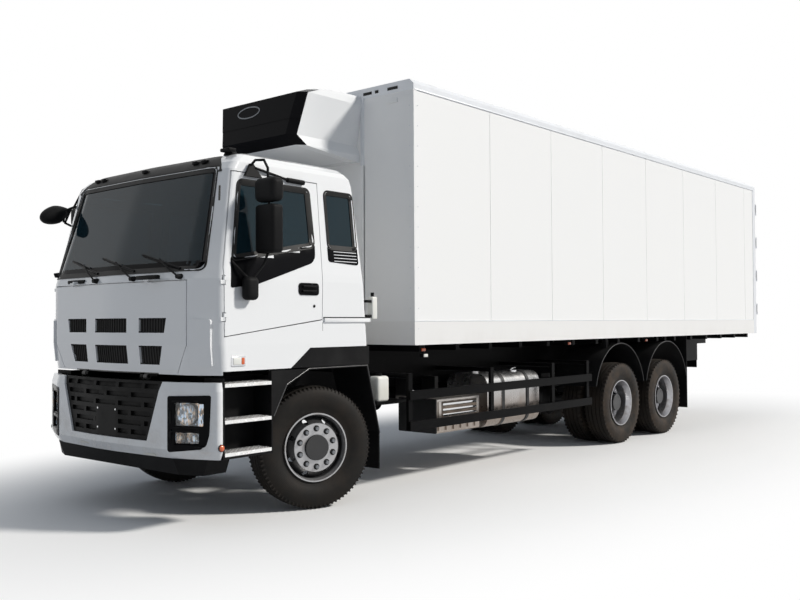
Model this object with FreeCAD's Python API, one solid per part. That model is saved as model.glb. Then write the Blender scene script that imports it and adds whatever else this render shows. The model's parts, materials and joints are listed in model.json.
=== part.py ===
import FreeCAD, Part
import math
import os

# Refrigerated truck: three-axle chassis, tilting cab over the engine, insulated box with a cooling unit.
# Millimetres. Z is up, the front faces -Y and the vehicle's left is +X. Lengths along Y are first taken from the
# front axle, heights from the road, and each finished piece is then moved so that Y is zero at mid length.

Vector = FreeCAD.Vector

# Whole vehicle
front_overhang = 1430.0
box_width = 2600.0
box_front_y = 1105.0
box_length = 9386.0
box_bottom_z = 1401.0
box_height = 2593.0
rear_hardware_reach = 42.0
wheelbase = 5529.0
bogie_spacing = 1333.0
overrun = 40.0
seam_gap = 8.0
seat_gap = 0.3
pin_clearance = 0.4
lug_gap = 0.5

# Tyres and wheels
tyre_radius = 535.0
tyre_width = 300.0
tyre_tread_width = 250.0
tyre_bead_width = 232.0
tyre_bead_height = 24.0
tyre_bulge_radius = 415.0
tyre_shoulder_radius = 500.0
tyre_shoulder_drop = 9.0
rim_lip_radius = 300.0
rim_seat_radius = 286.0
rim_well_radius = 262.0
rim_metal = 12.0
rim_lip_width = 14.0
disc_thickness = 16.0
hub_radius = 108.0
hub_cap_thickness = 14.0
front_hub_reach = 6.0
rear_hub_reach = 30.0
drum_radius = 205.0
drum_metal = 12.0
front_disc_inset = 18.0
front_disc_fall = 78.0
front_drum_inset = 176.0
front_track_outer = 2364.0
rear_track_outer = 2488.0
twin_gap = 40.0
hand_hole_radius = 21.0
hand_hole_circle_radius = 237.0
hand_hole_count = 8
hand_hole_margin = 6.0
rest_steer_deg = -18.65

# Frame
rail_outer_x = 430.0
rail_flange = 80.0
rail_web = 9.0
rail_bottom_z = 930.0
rail_top_z = 1220.0
rail_front_y = -1100.0
rail_rear_y = 10000.0
cross_member_depth = 60.0
cross_member_height = 150.0
subframe_front_y = 1180.0
subframe_rear_y = 10371.0
subframe_x = 400.0
subframe_width = 70.0
bearer_width = 60.0
bearer_height = 70.0
bearer_reach_x = 1190.0
bearer_pitch = 600.0
tow_plate_half_width = 421.0
tow_plate_bottom_z = 800.0
tow_plate_thickness = 20.0
tow_hole_radius = 10.5
tow_hole_span_x = 160.0
tow_hole_span_z = 100.0
tow_hole_mid_z = 900.0
cab_rest_y = 300.0
cab_rest_length = 80.0

# Engine and drive line
engine_half_width = 320.0
engine_front_y = -760.0
engine_rear_y = 820.0
engine_bottom_z = 690.0
engine_top_z = 1330.0
engine_edge = 60.0
engine_foot_length = 90.0
engine_foot_height = 60.0
gearbox_radius = 180.0
gearbox_z = 880.0
gearbox_rear_y = 1560.0
flange_radius = 85.0
flange_length = 40.0
shaft_radius = 55.0
shaft_z = 740.0

# Axles, knuckles and springs
pivot_x = 930.0
beam_height = 90.0
beam_width = 95.0
beam_drop = 110.0
beam_bend_inner_x = 560.0
beam_bend_outer_x = 740.0
beam_eye_radius = 52.0
beam_eye_height = 110.0
king_pin_radius = 22.0
fork_arm_height = 32.0
fork_reach = 62.0
fork_web = 40.0
stub_radius = 45.0
stub_length = 140.0
spring_width = 80.0
leaf_thickness = 18.0
leaf_overlap = 1.0
leaf_count = 4
front_spring_length = 1420.0
front_spring_x = 385.0
rear_spring_length = 1150.0
rear_spring_x = 480.0
spring_camber = 60.0
axle_tube_radius = 75.0
axle_tube_reach_x = 600.0
diff_radius = 215.0
diff_half_width = 240.0
trunnion_radius = 60.0
trunnion_z = 640.0
trunnion_bracket_length = 340.0
hanger_length = 80.0
hanger_thickness = 24.0

# Cab shell
cab_front_y = -1396.0
cab_length = 1911.0
cab_width = 2500.0
cab_bottom_z = 1215.0
cab_height = 1815.0
cab_wall = 60.0
cab_roof_joint_z = 2905.0
cab_corner_radius = 60.0
cab_bend_radius = 260.0
cab_front_radius = 2000.0
cab_rear_wall_half = 1080.0
cab_rear_wall_depth = 170.0
cab_floor_z = 1290.0
cab_floor_thickness = 45.0
tunnel_half_width = 400.0
tunnel_top_z = 1440.0
tunnel_front_y = -900.0
glass_thickness = 8.0
glass_inset = 14.0
window_corner = 45.0
screen_corner = 60.0
tilt_y = -1330.0
tilt_z = 1190.0
tilt_pin_radius = 13.0
tilt_boss_radius = 24.0
tilt_web_depth = 76.0
tilt_beam_depth = 80.0
tilt_bracket_x = 395.0
tilt_arm_x = 440.0
tilt_arm_width = 50.0
tilt_plate_width = 35.0

# Side outlines of the cab, from the front axle and from the road
door_front_y = -1165.0
door_front_top_y = -1010.0
door_rear_y = -90.0
door_rear_top_y = -60.0
door_sill_front_z = 1513.0
door_sill_rear_z = 1645.0
door_top_z = 2850.0
belt_z = 2060.0
door_window_front_y = -1062.0
door_window_front_top_y = -943.0
door_window_rear_y = -172.0
door_window_rear_top_y = -185.0
door_window_sill_front_z = 2129.0
door_window_sill_rear_z = 2290.0
door_window_top_z = 2770.0
quarter_front_y = 22.0
quarter_rear_y = 365.0
quarter_bottom_z = 2282.0
quarter_top_z = 2781.0
cab_side_bottom_z = 1245.0
arch_top_z = 1410.0
arch_start_y = -459.0
arch_rise_length = 220.0
trim_inner_x = 1195.0
trim_outer_x = 1250.0
lip_gap = 12.0
vane_inner_x = 1015.0
vane_outer_x = 1178.0
vane_bottom_z = 1281.0
vane_top_z = 1655.0
vane_height = 16.0
vane_corner = 20.0
hinge_levels_z = (1640.0, 1930.0)
hinge_x = 1243.0
hinge_barrel_radius = 9.0
hinge_pin_radius = 4.0
hinge_barrel_height = 30.0
hinge_notch = 16.0

# Windscreen, front panel and its grille
screen_bottom_z = 2050.0
screen_top_z = 2885.0
screen_half_bottom = 1105.0
screen_half_top = 1000.0
panel_top_z = 1968.0
panel_bottom_z = 1225.0
panel_side_z = 1450.0
panel_half_top = 985.0
panel_half_bottom = 855.0
panel_thickness = 30.0
panel_gap_behind = 10.0
panel_hinge_x = 563.0
panel_hinge_y = -1404.0
panel_hinge_z = 1974.0
panel_hinge_radius = 11.0
panel_hinge_pin = 5.0
panel_hinge_width = 60.0
grille_centre_half = 238.0
grille_outer_start_x = 398.0
grille_outer_end_x = 742.0
grille_outer_lower_end_x = 691.0
grille_upper_bottom_z = 1548.0
grille_upper_top_z = 1668.0
grille_lower_bottom_z = 1290.0
grille_lower_top_z = 1443.0
grille_corner = 12.0
grille_bar_width = 8.0
grille_bar_pitch = 34.0
grille_recess = 20.0

# Bumper, lower grille, lamps and steps
bumper_top_z = 1160.0
bumper_bottom_z = 560.0
bumper_rear_y = -1177.0
bumper_half_width = 1250.0
bumper_front_y = -front_overhang
bumper_flat_half = 150.0
bumper_mid_x = 860.0
bumper_mid_y = -1382.0
bumper_corner_y = -1220.0
bumper_wall = 40.0
bumper_edge_inset = 28.0
bumper_edge_height = 70.0
bumper_corner_radius = 45.0
bumper_opening_half_top = 741.0
bumper_opening_half_bottom = 563.0
bumper_opening_bottom_z = 680.0
bumper_bracket_x = 345.0
bumper_bracket_width = 45.0
lower_grille_inset = 16.0
lower_grille_thickness = 36.0
lower_grille_slot_height = 40.0
lower_grille_slot_pitch = 76.0
lower_grille_slot_length = 300.0
lower_grille_rib = 40.0
lower_grille_slot_depth = 22.0
plate_pad_half = 165.0
plate_pad_bottom_z = 710.0
plate_pad_top_z = 945.0
plate_hole_x = 133.0
plate_hole_low_z = 747.0
plate_hole_high_z = 909.0
plate_hole_radius = 4.5
valance_bottom_z = 427.0
valance_half_width = 1120.0
valance_front_y = -1400.0
valance_rear_y = -1000.0
valance_wall = 30.0
lamp_inner_x = 821.0
lamp_outer_x = 1128.0
lamp_bottom_z = 640.0
lamp_top_z = 1040.0
lamp_corner = 40.0
lamp_depth = 110.0
lamp_border = 34.0
lamp_split_z = 810.0
lamp_recess = 60.0
lamp_lens_inset = 12.0
lamp_lens_thickness = 6.0
step_front_y = -1165.0
step_rear_y = -655.0
step_inner_x = 1000.0
step_outer_x = 1238.0
step_bottom_z = 560.0
step_top_z = 1190.0
step_wall = 14.0
tread_height = 28.0
tread_front_y = -1140.0
tread_rear_y = -670.0
tread_levels_z = (577.0, 832.0, 1117.0)

# Mudguards
lip_front_y = -643.0
lip_front_z = 860.0
lip_shoulder_y = -500.0
lip_shoulder_z = 1110.0
lip_top_y = -240.0
lip_top_z = 1232.0
lip_rear_y = 495.0
lip_foot_y = 660.0
lip_foot_z = 600.0
guard_inner_x = 790.0
guard_outer_x = 1236.0
guard_skin = 10.0
guard_arm_half = 15.0
guard_arm_height = 60.0
rear_guard_inner_x = 610.0
rear_guard_radius = 700.0
rear_guard_z = 630.0
rear_guard_ahead = 33.0
rear_guard_behind = 80.0
guard_hanger_width = 60.0
flap_thickness = 12.0
flap_width = 400.0
front_flap_bottom_z = 268.0
rear_flap_bottom_z = 315.0
rear_flap_y = 7640.0

# Tanks, batteries and side guards
tank_front_y = 2660.0
tank_length = 1075.0
tank_bottom_z = 445.0
tank_height = 595.0
tank_depth = 560.0
tank_outer_x = 1055.0
tank_corner = 120.0
strap_width = 60.0
strap_metal = 6.0
strap_inset = 280.0
bracket_height = 90.0
tank_cap_radius = 55.0
tank_cap_height = 45.0
battery_front_y = 1700.0
battery_length = 760.0
battery_bottom_z = 475.0
battery_height = 355.0
battery_outer_x = 1100.0
battery_depth = 520.0
battery_rib_count = 6
battery_rib_depth = 14.0
air_tank_radius = 140.0
air_tank_length = 950.0
air_tank_front_y = 1750.0
air_tank_x = 620.0
air_tank_spacing = 310.0
air_tank_z = 800.0
guard_rail_height = 90.0
guard_rail_thickness = 28.0
side_guard_x = 1220.0
upper_rail_z = 911.0
lower_rail_z = 612.0
side_guard_front_y = 1130.0
side_guard_rear_y = 4734.0
guard_post_width = 60.0
guard_post_thickness = 30.0
guard_arm_radius = 25.0
guard_arm_z = 1100.0

# Box
box_wall = 80.0
box_floor_height = 130.0
box_roof_height = 106.0
roof_edge_chamfer = 52.0
side_rail_height = 234.0
side_rail_proud = 5.0
panel_joint_first = 1294.0
panel_joint_pitch = 1262.0
panel_groove_width = 7.0
panel_groove_depth = 4.0
rear_frame_depth = 120.0
rear_door_thickness = 75.0
rear_frame_post = 92.0
rear_sill_height = 130.0
rear_header_height = 150.0
rear_hinge_x = 1300.0
rear_hinge_radius = 12.0
rear_hinge_pin = 6.0
rear_hinge_length = 110.0
rear_hinge_lug = 40.0
rear_hinge_plate = 7.0
rear_hinge_plate_length = 240.0
rear_hinge_count = 4
lock_bar_radius = 14.0
lock_bar_inset_x = 250.0
lock_bar_gap = 20.0
tail_lamp_width = 420.0
tail_lamp_height = 96.0
tail_lamp_depth = 20.0
pilaster_x = 580.0
pilaster_width = 70.0
pilaster_depth = 26.0
vent_width = 139.0
vent_height = 34.0
vent_depth = 12.0
vent_x = 958.0
vent_z = 3790.0

# Cooling unit
unit_half_width = 621.0
unit_front_y = 195.0
unit_side_inset = 75.0
unit_bottom_z = 3250.0
unit_height = 669.0
unit_top_crown = 60.0
unit_panel_inset = 30.0
unit_panel_depth = 12.0

# Seats, dashboard and controls
seat_width = 500.0
seat_depth = 500.0
seat_cushion_height = 150.0
seat_cushion_top_z = 1830.0
seat_back_height = 640.0
seat_back_depth = 120.0
seat_x = 640.0
seat_rear_y = 150.0
seat_corner = 40.0
seat_base_half = 170.0
dash_depth = 330.0
dash_bottom_z = 1650.0
dash_top_z = 2010.0
dash_half_width = 1080.0
steering_ring_radius = 225.0
steering_ring_tube = 15.0
steering_y = -640.0
steering_z = 2090.0
steering_lean_deg = 35.0
steering_column_radius = 32.0

# Mirrors
mirror_x = 1415.0
mirror_y = -830.0
mirror_width = 210.0
mirror_depth = 90.0
mirror_corner = 35.0
large_mirror_bottom_z = 2175.0
large_mirror_height = 400.0
small_mirror_height = 200.0
small_mirror_gap = 20.0
mirror_tube_radius = 12.0
mirror_arm_reach = 60.0
mirror_arm_lean = 70.0
mirror_arm_drop = 110.0
mirror_foot_half = 32.0
mirror_foot_reach = 90.0
front_mirror_width = 250.0
front_mirror_height = 150.0
front_mirror_depth = 84.0
front_mirror_x = -1190.0
front_mirror_y = -1340.0
front_mirror_z = 2660.0

# Worked out from the above
box_rear_y = box_front_y + box_length
overall_rear_y = box_rear_y + rear_hardware_reach
mid_y = (overall_rear_y - front_overhang) / 2
box_top_z = box_bottom_z + box_height
half_box = box_width / 2
half_cab = cab_width / 2
cab_rear_y = cab_front_y + cab_length
cab_top_z = cab_bottom_z + cab_height
axle_z = tyre_radius
rear_axles_y = (wheelbase, wheelbase + bogie_spacing)
bogie_mid_y = wheelbase + bogie_spacing / 2
front_wheel_x = (front_track_outer - tyre_width) / 2
twin_mid_x = (rear_track_outer - twin_gap) / 2 - tyre_width
wall_inner_x = half_box - box_wall
rear_frame_y = box_rear_y - rear_frame_depth
floor_top_z = box_bottom_z + box_floor_height
roof_bottom_z = box_top_z - box_roof_height


def box(x0, x1, y0, y1, z0, z1):
    """A block between two corners."""
    return Part.makeBox(x1 - x0, y1 - y0, z1 - z0, Vector(x0, y0, z0))


def face_of(points):
    return Part.Face(Part.makePolygon(points + [points[0]]))


def side_prism(points, x0, x1):
    """Extrude an outline of (y, z) points from x0 to x1."""
    return face_of([Vector(x0, y, z) for y, z in points]).extrude(Vector(x1 - x0, 0, 0))


def front_prism(points, y0, y1):
    """Extrude an outline of (x, z) points from y0 to y1."""
    return face_of([Vector(x, y0, z) for x, z in points]).extrude(Vector(0, y1 - y0, 0))


def rod(radius, start, end):
    """A round bar between two points."""
    axis = end - start
    return Part.makeCylinder(radius, axis.Length, start, axis)


def x_rod(radius, x0, x1, y, z):
    return rod(radius, Vector(x0, y, z), Vector(x1, y, z))


def y_rod(radius, y0, y1, x, z):
    return rod(radius, Vector(x, y0, z), Vector(x, y1, z))


def z_rod(radius, z0, z1, x, y):
    return rod(radius, Vector(x, y, z0), Vector(x, y, z1))


def fuse(shapes):
    return shapes[0].fuse(shapes[1:]).removeSplitter()


def mirrored(shape):
    """The same piece on the other side of the vehicle."""
    return shape.mirror(Vector(0, 0, 0), Vector(1, 0, 0))


def both_sides(shape):
    return Part.makeCompound([shape, mirrored(shape)])


def rounded_wire(points, radii):
    """A closed wire with an arc of the given radius at each corner."""
    count = len(points)
    arcs = []
    for index in range(count):
        corner = points[index]
        back = (points[index - 1] - corner).normalize()
        ahead = (points[(index + 1) % count] - corner).normalize()
        turn = math.pi - back.getAngle(ahead)
        setback = radii[index] * math.tan(turn / 2)
        middle = corner + (back + ahead).normalize() * (radii[index] / math.cos(turn / 2) - radii[index])
        arcs.append((corner + back * setback, middle, corner + ahead * setback))
    edges = []
    for index in range(count):
        edges.append(Part.Arc(*arcs[index]).toShape())
        edges.append(Part.LineSegment(arcs[index][2], arcs[(index + 1) % count][0]).toShape())
    return Part.Wire(edges)


def rounded_prism(points, radius, reach):
    """Extrude an outline with rounded corners along a vector."""
    return Part.Face(rounded_wire(points, [radius] * len(points))).extrude(reach)


def rounded_side_prism(points, radius, x0, x1):
    return rounded_prism([Vector(x0, y, z) for y, z in points], radius, Vector(x1 - x0, 0, 0))


def rounded_front_prism(points, radius, y0, y1):
    return rounded_prism([Vector(x, y0, z) for x, z in points], radius, Vector(0, y1 - y0, 0))


def tube_through(points, radius, bend):
    """A round tube through the points, with an arc at each inner point."""
    edges = []
    start = points[0]
    for index in range(1, len(points) - 1):
        corner = points[index]
        back = (points[index - 1] - corner).normalize()
        ahead = (points[index + 1] - corner).normalize()
        turn = math.pi - back.getAngle(ahead)
        setback = bend * math.tan(turn / 2)
        middle = corner + (back + ahead).normalize() * (bend / math.cos(turn / 2) - bend)
        edges.append(Part.LineSegment(start, corner + back * setback).toShape())
        edges.append(Part.Arc(corner + back * setback, middle, corner + ahead * setback).toShape())
        start = corner + ahead * setback
    edges.append(Part.LineSegment(start, points[-1]).toShape())
    profile = Part.Wire(Part.makeCircle(radius, points[0], points[1] - points[0]))
    return Part.Wire(edges).makePipeShell([profile], True, True)


def revolved(points):
    """Turn a closed outline of (x, radius) points about the X axis."""
    return face_of([Vector(x, 0, radius) for x, radius in points]).revolve(Vector(0, 0, 0), Vector(1, 0, 0), 360)


def save(name, shape):
    """Move a finished piece to the part's origin and write it out."""
    solids = shape.Solids
    out = Part.makeCompound(solids) if len(solids) > 1 else solids[0].copy()
    out.translate(Vector(0, -mid_y, 0))
    out.exportStep("parts/" + name + ".step")
    litres = sum(s.Volume for s in solids) / 1e6
    print(name, len(solids), "solids", round(litres, 2), "litres", "valid" if out.isValid() else "NOT VALID")


# Cab shell
# Each row: share of the cab's height, then of its half width, then the side corner's share of its length behind the
# front, the bend in the front (share of half width, share of length), the front at the centre, and the rear.
cab_section_shares = (
    (0.0, 0.996, 0.121, 0.792, 0.050, 0.0147, 1.0),
    (0.13, 1.0, 0.113, 0.80, 0.037, 0.0, 0.995),
    (0.419, 0.996, 0.113, 0.80, 0.037, 0.002, 0.975),
    (0.455, 0.992, 0.118, 0.792, 0.045, 0.0162, 0.972),
    (0.912, 0.92, 0.202, 0.72, 0.173, 0.1575, 0.946),
    (0.945, 0.914, 0.222, 0.70, 0.198, 0.1825, 0.934),
    (0.967, 0.899, 0.244, 0.68, 0.2203, 0.2046, 0.912),
    (0.987, 0.866, 0.272, 0.65, 0.252, 0.236, 0.89),
    (1.0, 0.816, 0.312, 0.60, 0.296, 0.2805, 0.86),
)


def cab_section(row, inset):
    z_share, half_share, corner_share, bend_x_share, bend_share, front_share, rear_share = row
    z = cab_bottom_z + cab_height * z_share
    half = half_cab * half_share - inset
    corner_y = cab_front_y + cab_length * corner_share + inset
    bend_x = half_cab * bend_x_share - inset / 2
    bend_y = cab_front_y + cab_length * bend_share + inset
    front_y = cab_front_y + cab_length * front_share + inset
    rear_y = cab_front_y + cab_length * rear_share - inset
    corner = cab_corner_radius - inset / 2
    points = [Vector(half, rear_y, z), Vector(-half, rear_y, z), Vector(-half, corner_y, z),
              Vector(-bend_x, bend_y, z), Vector(0, front_y, z), Vector(bend_x, bend_y, z),
              Vector(half, corner_y, z)]
    return rounded_wire(points, [corner, corner, corner, cab_bend_radius, cab_front_radius, cab_bend_radius, corner])


def cab_solid(inset):
    """The cab's outer form, drawn in by an inset."""
    return Part.makeLoft([cab_section(row, inset) for row in cab_section_shares], True, True)


def door_outline(gap):
    """The door's edge seen from the side, drawn in by a gap."""
    return [(door_front_y + gap, door_sill_front_z + gap), (door_rear_y - gap, door_sill_rear_z + gap),
            (door_rear_top_y - gap, door_top_z - gap), (door_front_top_y + gap, door_top_z - gap),
            (door_front_y + gap, belt_z)]


def door_reliefs():
    """What is taken from the door's inner front corner, so that it swings clear of the sill."""
    end_y = door_front_y + 2 * cab_wall
    return [box(0, hinge_x - cab_wall, door_front_y, end_y, door_sill_front_z, belt_z),
            box(0, hinge_x - hinge_notch, door_front_y, end_y, door_sill_front_z,
                door_sill_front_z + hinge_notch + seam_gap)]


def door_window(gap):
    return [(door_window_front_y + gap, door_window_sill_front_z + gap),
            (door_window_rear_y - gap, door_window_sill_rear_z + gap),
            (door_window_rear_top_y - gap, door_window_top_z - gap),
            (door_window_front_top_y + gap, door_window_top_z - gap)]


def quarter_window(gap):
    return [(quarter_front_y + gap, quarter_bottom_z + gap), (quarter_rear_y - gap, quarter_bottom_z + gap),
            (quarter_rear_y - gap, quarter_top_z - gap), (quarter_front_y + gap, quarter_top_z - gap)]


def screen_outline(gap):
    """The windscreen's opening seen from the front, drawn in by a gap."""
    low = screen_half_bottom - gap
    high = screen_half_top - gap
    return [(-low, screen_bottom_z + gap), (low, screen_bottom_z + gap),
            (high, screen_top_z - gap), (-high, screen_top_z - gap)]


def panel_outline(gap):
    """The lifting front panel seen from the front, drawn in by a gap."""
    top = panel_half_top - gap
    bottom = panel_half_bottom - gap
    return [(-bottom, panel_bottom_z), (bottom, panel_bottom_z), (top, panel_side_z),
            (top, panel_top_z - gap), (-top, panel_top_z - gap), (-top, panel_side_z)]


def grille_openings():
    """The six openings of the front panel, as outlines of (x, z) points."""
    upper = [(-grille_centre_half, grille_upper_bottom_z), (grille_centre_half, grille_upper_bottom_z),
             (grille_centre_half, grille_upper_top_z), (-grille_centre_half, grille_upper_top_z)]
    lower = [(-grille_centre_half, grille_lower_bottom_z), (grille_centre_half, grille_lower_bottom_z),
             (grille_centre_half, grille_lower_top_z), (-grille_centre_half, grille_lower_top_z)]
    outlines = [upper, lower]
    slant = grille_outer_end_x - grille_outer_lower_end_x
    for side in (-1, 1):
        outlines.append([(side * grille_outer_start_x, grille_upper_bottom_z),
                         (side * (grille_outer_end_x - slant / 2), grille_upper_bottom_z),
                         (side * grille_outer_end_x, grille_upper_top_z),
                         (side * grille_outer_start_x, grille_upper_top_z)])
        outlines.append([(side * grille_outer_start_x, grille_lower_bottom_z),
                         (side * (grille_outer_lower_end_x - slant), grille_lower_bottom_z),
                         (side * grille_outer_lower_end_x, grille_lower_top_z),
                         (side * grille_outer_start_x, grille_lower_top_z)])
    return outlines


def front_panel(outer):
    """The lifting panel: a curved skin with six recesses, an upright bar every pitch in each."""
    rear_y = door_front_y
    ahead = cab_front_y - overrun
    skin = outer.cut(cab_solid(panel_thickness)).common(front_prism(panel_outline(seam_gap), ahead, rear_y))
    floor_of_recess = cab_solid(grille_recess)
    recesses = []
    bars = []
    for outline in grille_openings():
        recesses.append(rounded_front_prism(outline, grille_corner, ahead, rear_y).cut(floor_of_recess))
        xs = [x for x, z in outline]
        zs = [z for x, z in outline]
        count = int((max(xs) - min(xs)) / grille_bar_pitch)
        first = (min(xs) + max(xs) - (count - 1) * grille_bar_pitch) / 2
        for index in range(count):
            middle = first + index * grille_bar_pitch
            bars.append(box(middle - grille_bar_width / 2, middle + grille_bar_width / 2, ahead, rear_y,
                            min(zs), max(zs)))
    bar_zone = cab_solid(grille_recess / 2)
    skin = skin.cut(Part.makeCompound(recesses).cut(Part.makeCompound(bars).common(bar_zone)))
    lugs = [panel_lug(side * panel_hinge_x, -1) for side in (-1, 1)]
    return fuse([skin] + lugs)


def panel_lug(middle_x, side):
    """Half of a hinge along X at the panel's top: side -1 is the panel's half, side 1 the cab's with its pin."""
    inner = middle_x - panel_hinge_width / 2 if side < 0 else middle_x + lug_gap
    outer = middle_x if side < 0 else middle_x + panel_hinge_width / 2
    reach_y = panel_hinge_y + 3 * panel_hinge_radius + cab_wall
    z_tip = panel_hinge_z + side * panel_hinge_radius
    barrel = x_rod(panel_hinge_radius, inner, outer, panel_hinge_y, panel_hinge_z)
    low, high = sorted((z_tip, z_tip + side * panel_hinge_radius))
    low, high = (low, panel_top_z - seam_gap) if side < 0 else (panel_hinge_z, high)
    arm = box(inner, outer, panel_hinge_y, reach_y - cab_wall / 2, low, high)
    lug = barrel.fuse(arm)
    if side < 0:
        lug = lug.cut(x_rod(panel_hinge_pin + pin_clearance, inner - overrun, outer + overrun, panel_hinge_y, panel_hinge_z))
    else:
        pin = x_rod(panel_hinge_pin, middle_x - panel_hinge_width / 2, outer, panel_hinge_y, panel_hinge_z)
        lug = lug.fuse(pin)
    return lug.cut(cab_solid(panel_thickness))


def door_hinge(z):
    """A small outside hinge at the door's front edge: the cab's half with its pin, and the door's half."""
    axis_y = door_front_y + seam_gap / 2
    top = z + hinge_barrel_height
    web_inner = hinge_x - hinge_notch / 2
    web_outer = hinge_x + hinge_barrel_radius / 2
    fixed = [z_rod(hinge_barrel_radius, z, top, hinge_x, axis_y),
             box(web_inner, web_outer, axis_y - hinge_notch - overrun / 2, axis_y, z, top),
             z_rod(hinge_pin_radius, top, top + hinge_barrel_height, hinge_x, axis_y)]
    start = top + lug_gap
    end = start + hinge_barrel_height
    moving = fuse([z_rod(hinge_barrel_radius, start, end, hinge_x, axis_y),
                   box(web_inner, web_outer, axis_y, axis_y + hinge_notch + overrun / 2, start, end)])
    moving = moving.cut(z_rod(hinge_pin_radius + pin_clearance, z, end + overrun, hinge_x, axis_y))
    notch = box(hinge_x - hinge_notch, half_cab + overrun, axis_y - hinge_notch, axis_y + hinge_notch,
                z - seam_gap, end + seam_gap)
    return fuse(fixed), moving, notch


def build_cab():
    outer = cab_solid(0)
    ceiling = cab_top_z - cab_wall
    inner = cab_solid(cab_wall)
    cavity = inner.common(box(-half_cab, half_cab, cab_front_y, cab_rear_y, cab_bottom_z - overrun, ceiling))
    shell = outer.cut(cavity)
    reach = half_cab + overrun
    above = cab_top_z + overrun
    below = cab_bottom_z - overrun
    ahead = cab_front_y - overrun
    behind = cab_rear_y + overrun
    roof = shell.common(box(-reach, reach, ahead, behind, cab_roof_joint_z, above))
    save("cab_roof", roof)
    walls = shell.common(box(-reach, reach, ahead, behind, below, cab_roof_joint_z))

    front_region = side_prism([(ahead, below), (door_front_y, below), (door_front_y, belt_z),
                               (door_front_top_y, door_top_z), (door_front_top_y, above), (ahead, above)],
                              -reach, reach)
    hinges = [door_hinge(z) for z in hinge_levels_z]
    front = walls.common(front_region)
    front = front.cut(rounded_front_prism(screen_outline(0), screen_corner, ahead, door_front_top_y + cab_wall))
    panel_zone = front_prism(panel_outline(0), ahead, door_front_y)
    front = front.cut(panel_zone.cut(cab_solid(panel_thickness + panel_gap_behind)))
    for fixed, moving, notch in hinges:
        front = front.cut([notch, mirrored(notch)])
        front = front.fuse([fixed, mirrored(fixed)])
    front = front.cut(tilt_notches())
    vane = corner_vane(outer)
    front = fuse([front, vane, mirrored(vane)] + [panel_lug(side * panel_hinge_x, 1) for side in (-1, 1)]
                 + tilt_arms())
    save("cab_front", front)
    save("front_panel", front_panel(outer))

    sheet = cab_solid(glass_inset).cut(cab_solid(glass_inset + glass_thickness))
    screen = sheet.common(rounded_front_prism(screen_outline(seat_gap), screen_corner, ahead, 0))

    back_region = box(-cab_rear_wall_half, cab_rear_wall_half, cab_rear_y - cab_rear_wall_depth, behind, below,
                      cab_roof_joint_z)
    tunnel = box(-tunnel_half_width, tunnel_half_width, tunnel_front_y, behind, below, tunnel_top_z)
    underside = box(-reach, reach, ahead, behind, below, cab_side_bottom_z)
    save("cab_rear_wall", walls.common(back_region).cut([tunnel, underside]))

    side = walls.cut(front_region).cut(back_region).common(box(0, reach, ahead, behind, cab_side_bottom_z, above))
    side = side.cut(side_prism(door_outline(0), 0, reach))
    side = side.cut(rounded_side_prism(quarter_window(0), window_corner, 0, reach))
    arch = [(arch_start_y, below), (arch_start_y, cab_side_bottom_z), (arch_start_y + arch_rise_length, arch_top_z),
            (behind, arch_top_z), (behind, below)]
    side = side.cut(side_prism(arch, 0, reach))
    save("cab_side_left", side)
    save("cab_side_right", mirrored(side))
    quarter = sheet.common(rounded_side_prism(quarter_window(seat_gap), window_corner, 0, reach))
    save("cab_glass", Part.makeCompound([screen, quarter, mirrored(quarter)]))
    door = shell.common(side_prism(door_outline(seam_gap), half_cab / 2, reach))
    door = door.cut(rounded_side_prism(door_window(0), window_corner, 0, reach))
    door = door.cut(door_reliefs())
    for fixed, moving, notch in hinges:
        door = door.cut(notch).fuse(moving)
    pane = sheet.common(rounded_side_prism(door_window(seat_gap), window_corner, 0, reach))
    save("door_left", door)
    save("door_right", mirrored(door))
    save("door_glass_left", pane)
    save("door_glass_right", mirrored(pane))
    build_cab_inside(inner, tunnel)


def corner_vane(outer):
    """The raised air vane on the cab's front corner."""
    corners = [(vane_inner_x, vane_bottom_z), (vane_outer_x, vane_bottom_z), (vane_outer_x, vane_top_z),
               (vane_inner_x, vane_top_z)]
    zone = rounded_front_prism(corners, vane_corner, cab_front_y - overrun, door_front_y)
    return cab_solid(-vane_height).cut(cab_solid(seat_gap)).common(zone)


def arch_lip():
    """The front wheel arch's lip seen from the side, as (y, z) points from its front foot to its rear foot."""
    return [(lip_front_y, lip_front_z), (lip_shoulder_y, lip_shoulder_z), (lip_top_y, lip_top_z),
            (lip_rear_y, lip_top_z), (lip_foot_y, lip_foot_z)]


def build_arch_trims():
    """The dark trims over the front wheels that tilt with the cab."""
    start_z = cab_side_bottom_z - seat_gap
    upper = [(arch_start_y, start_z), (arch_start_y + arch_rise_length, arch_top_z - seat_gap),
             (cab_section_rear_y(), arch_top_z - seat_gap)]
    lower = [(cab_section_rear_y(), lip_top_z + lip_gap), (lip_top_y, lip_top_z + lip_gap)]
    trim = side_prism(upper + lower, trim_inner_x, trim_outer_x)
    save("arch_trims", both_sides(trim))


def cab_section_rear_y():
    """How far back the cab's lowest section reaches."""
    return cab_front_y + cab_length * cab_section_shares[1][-1]


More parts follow.
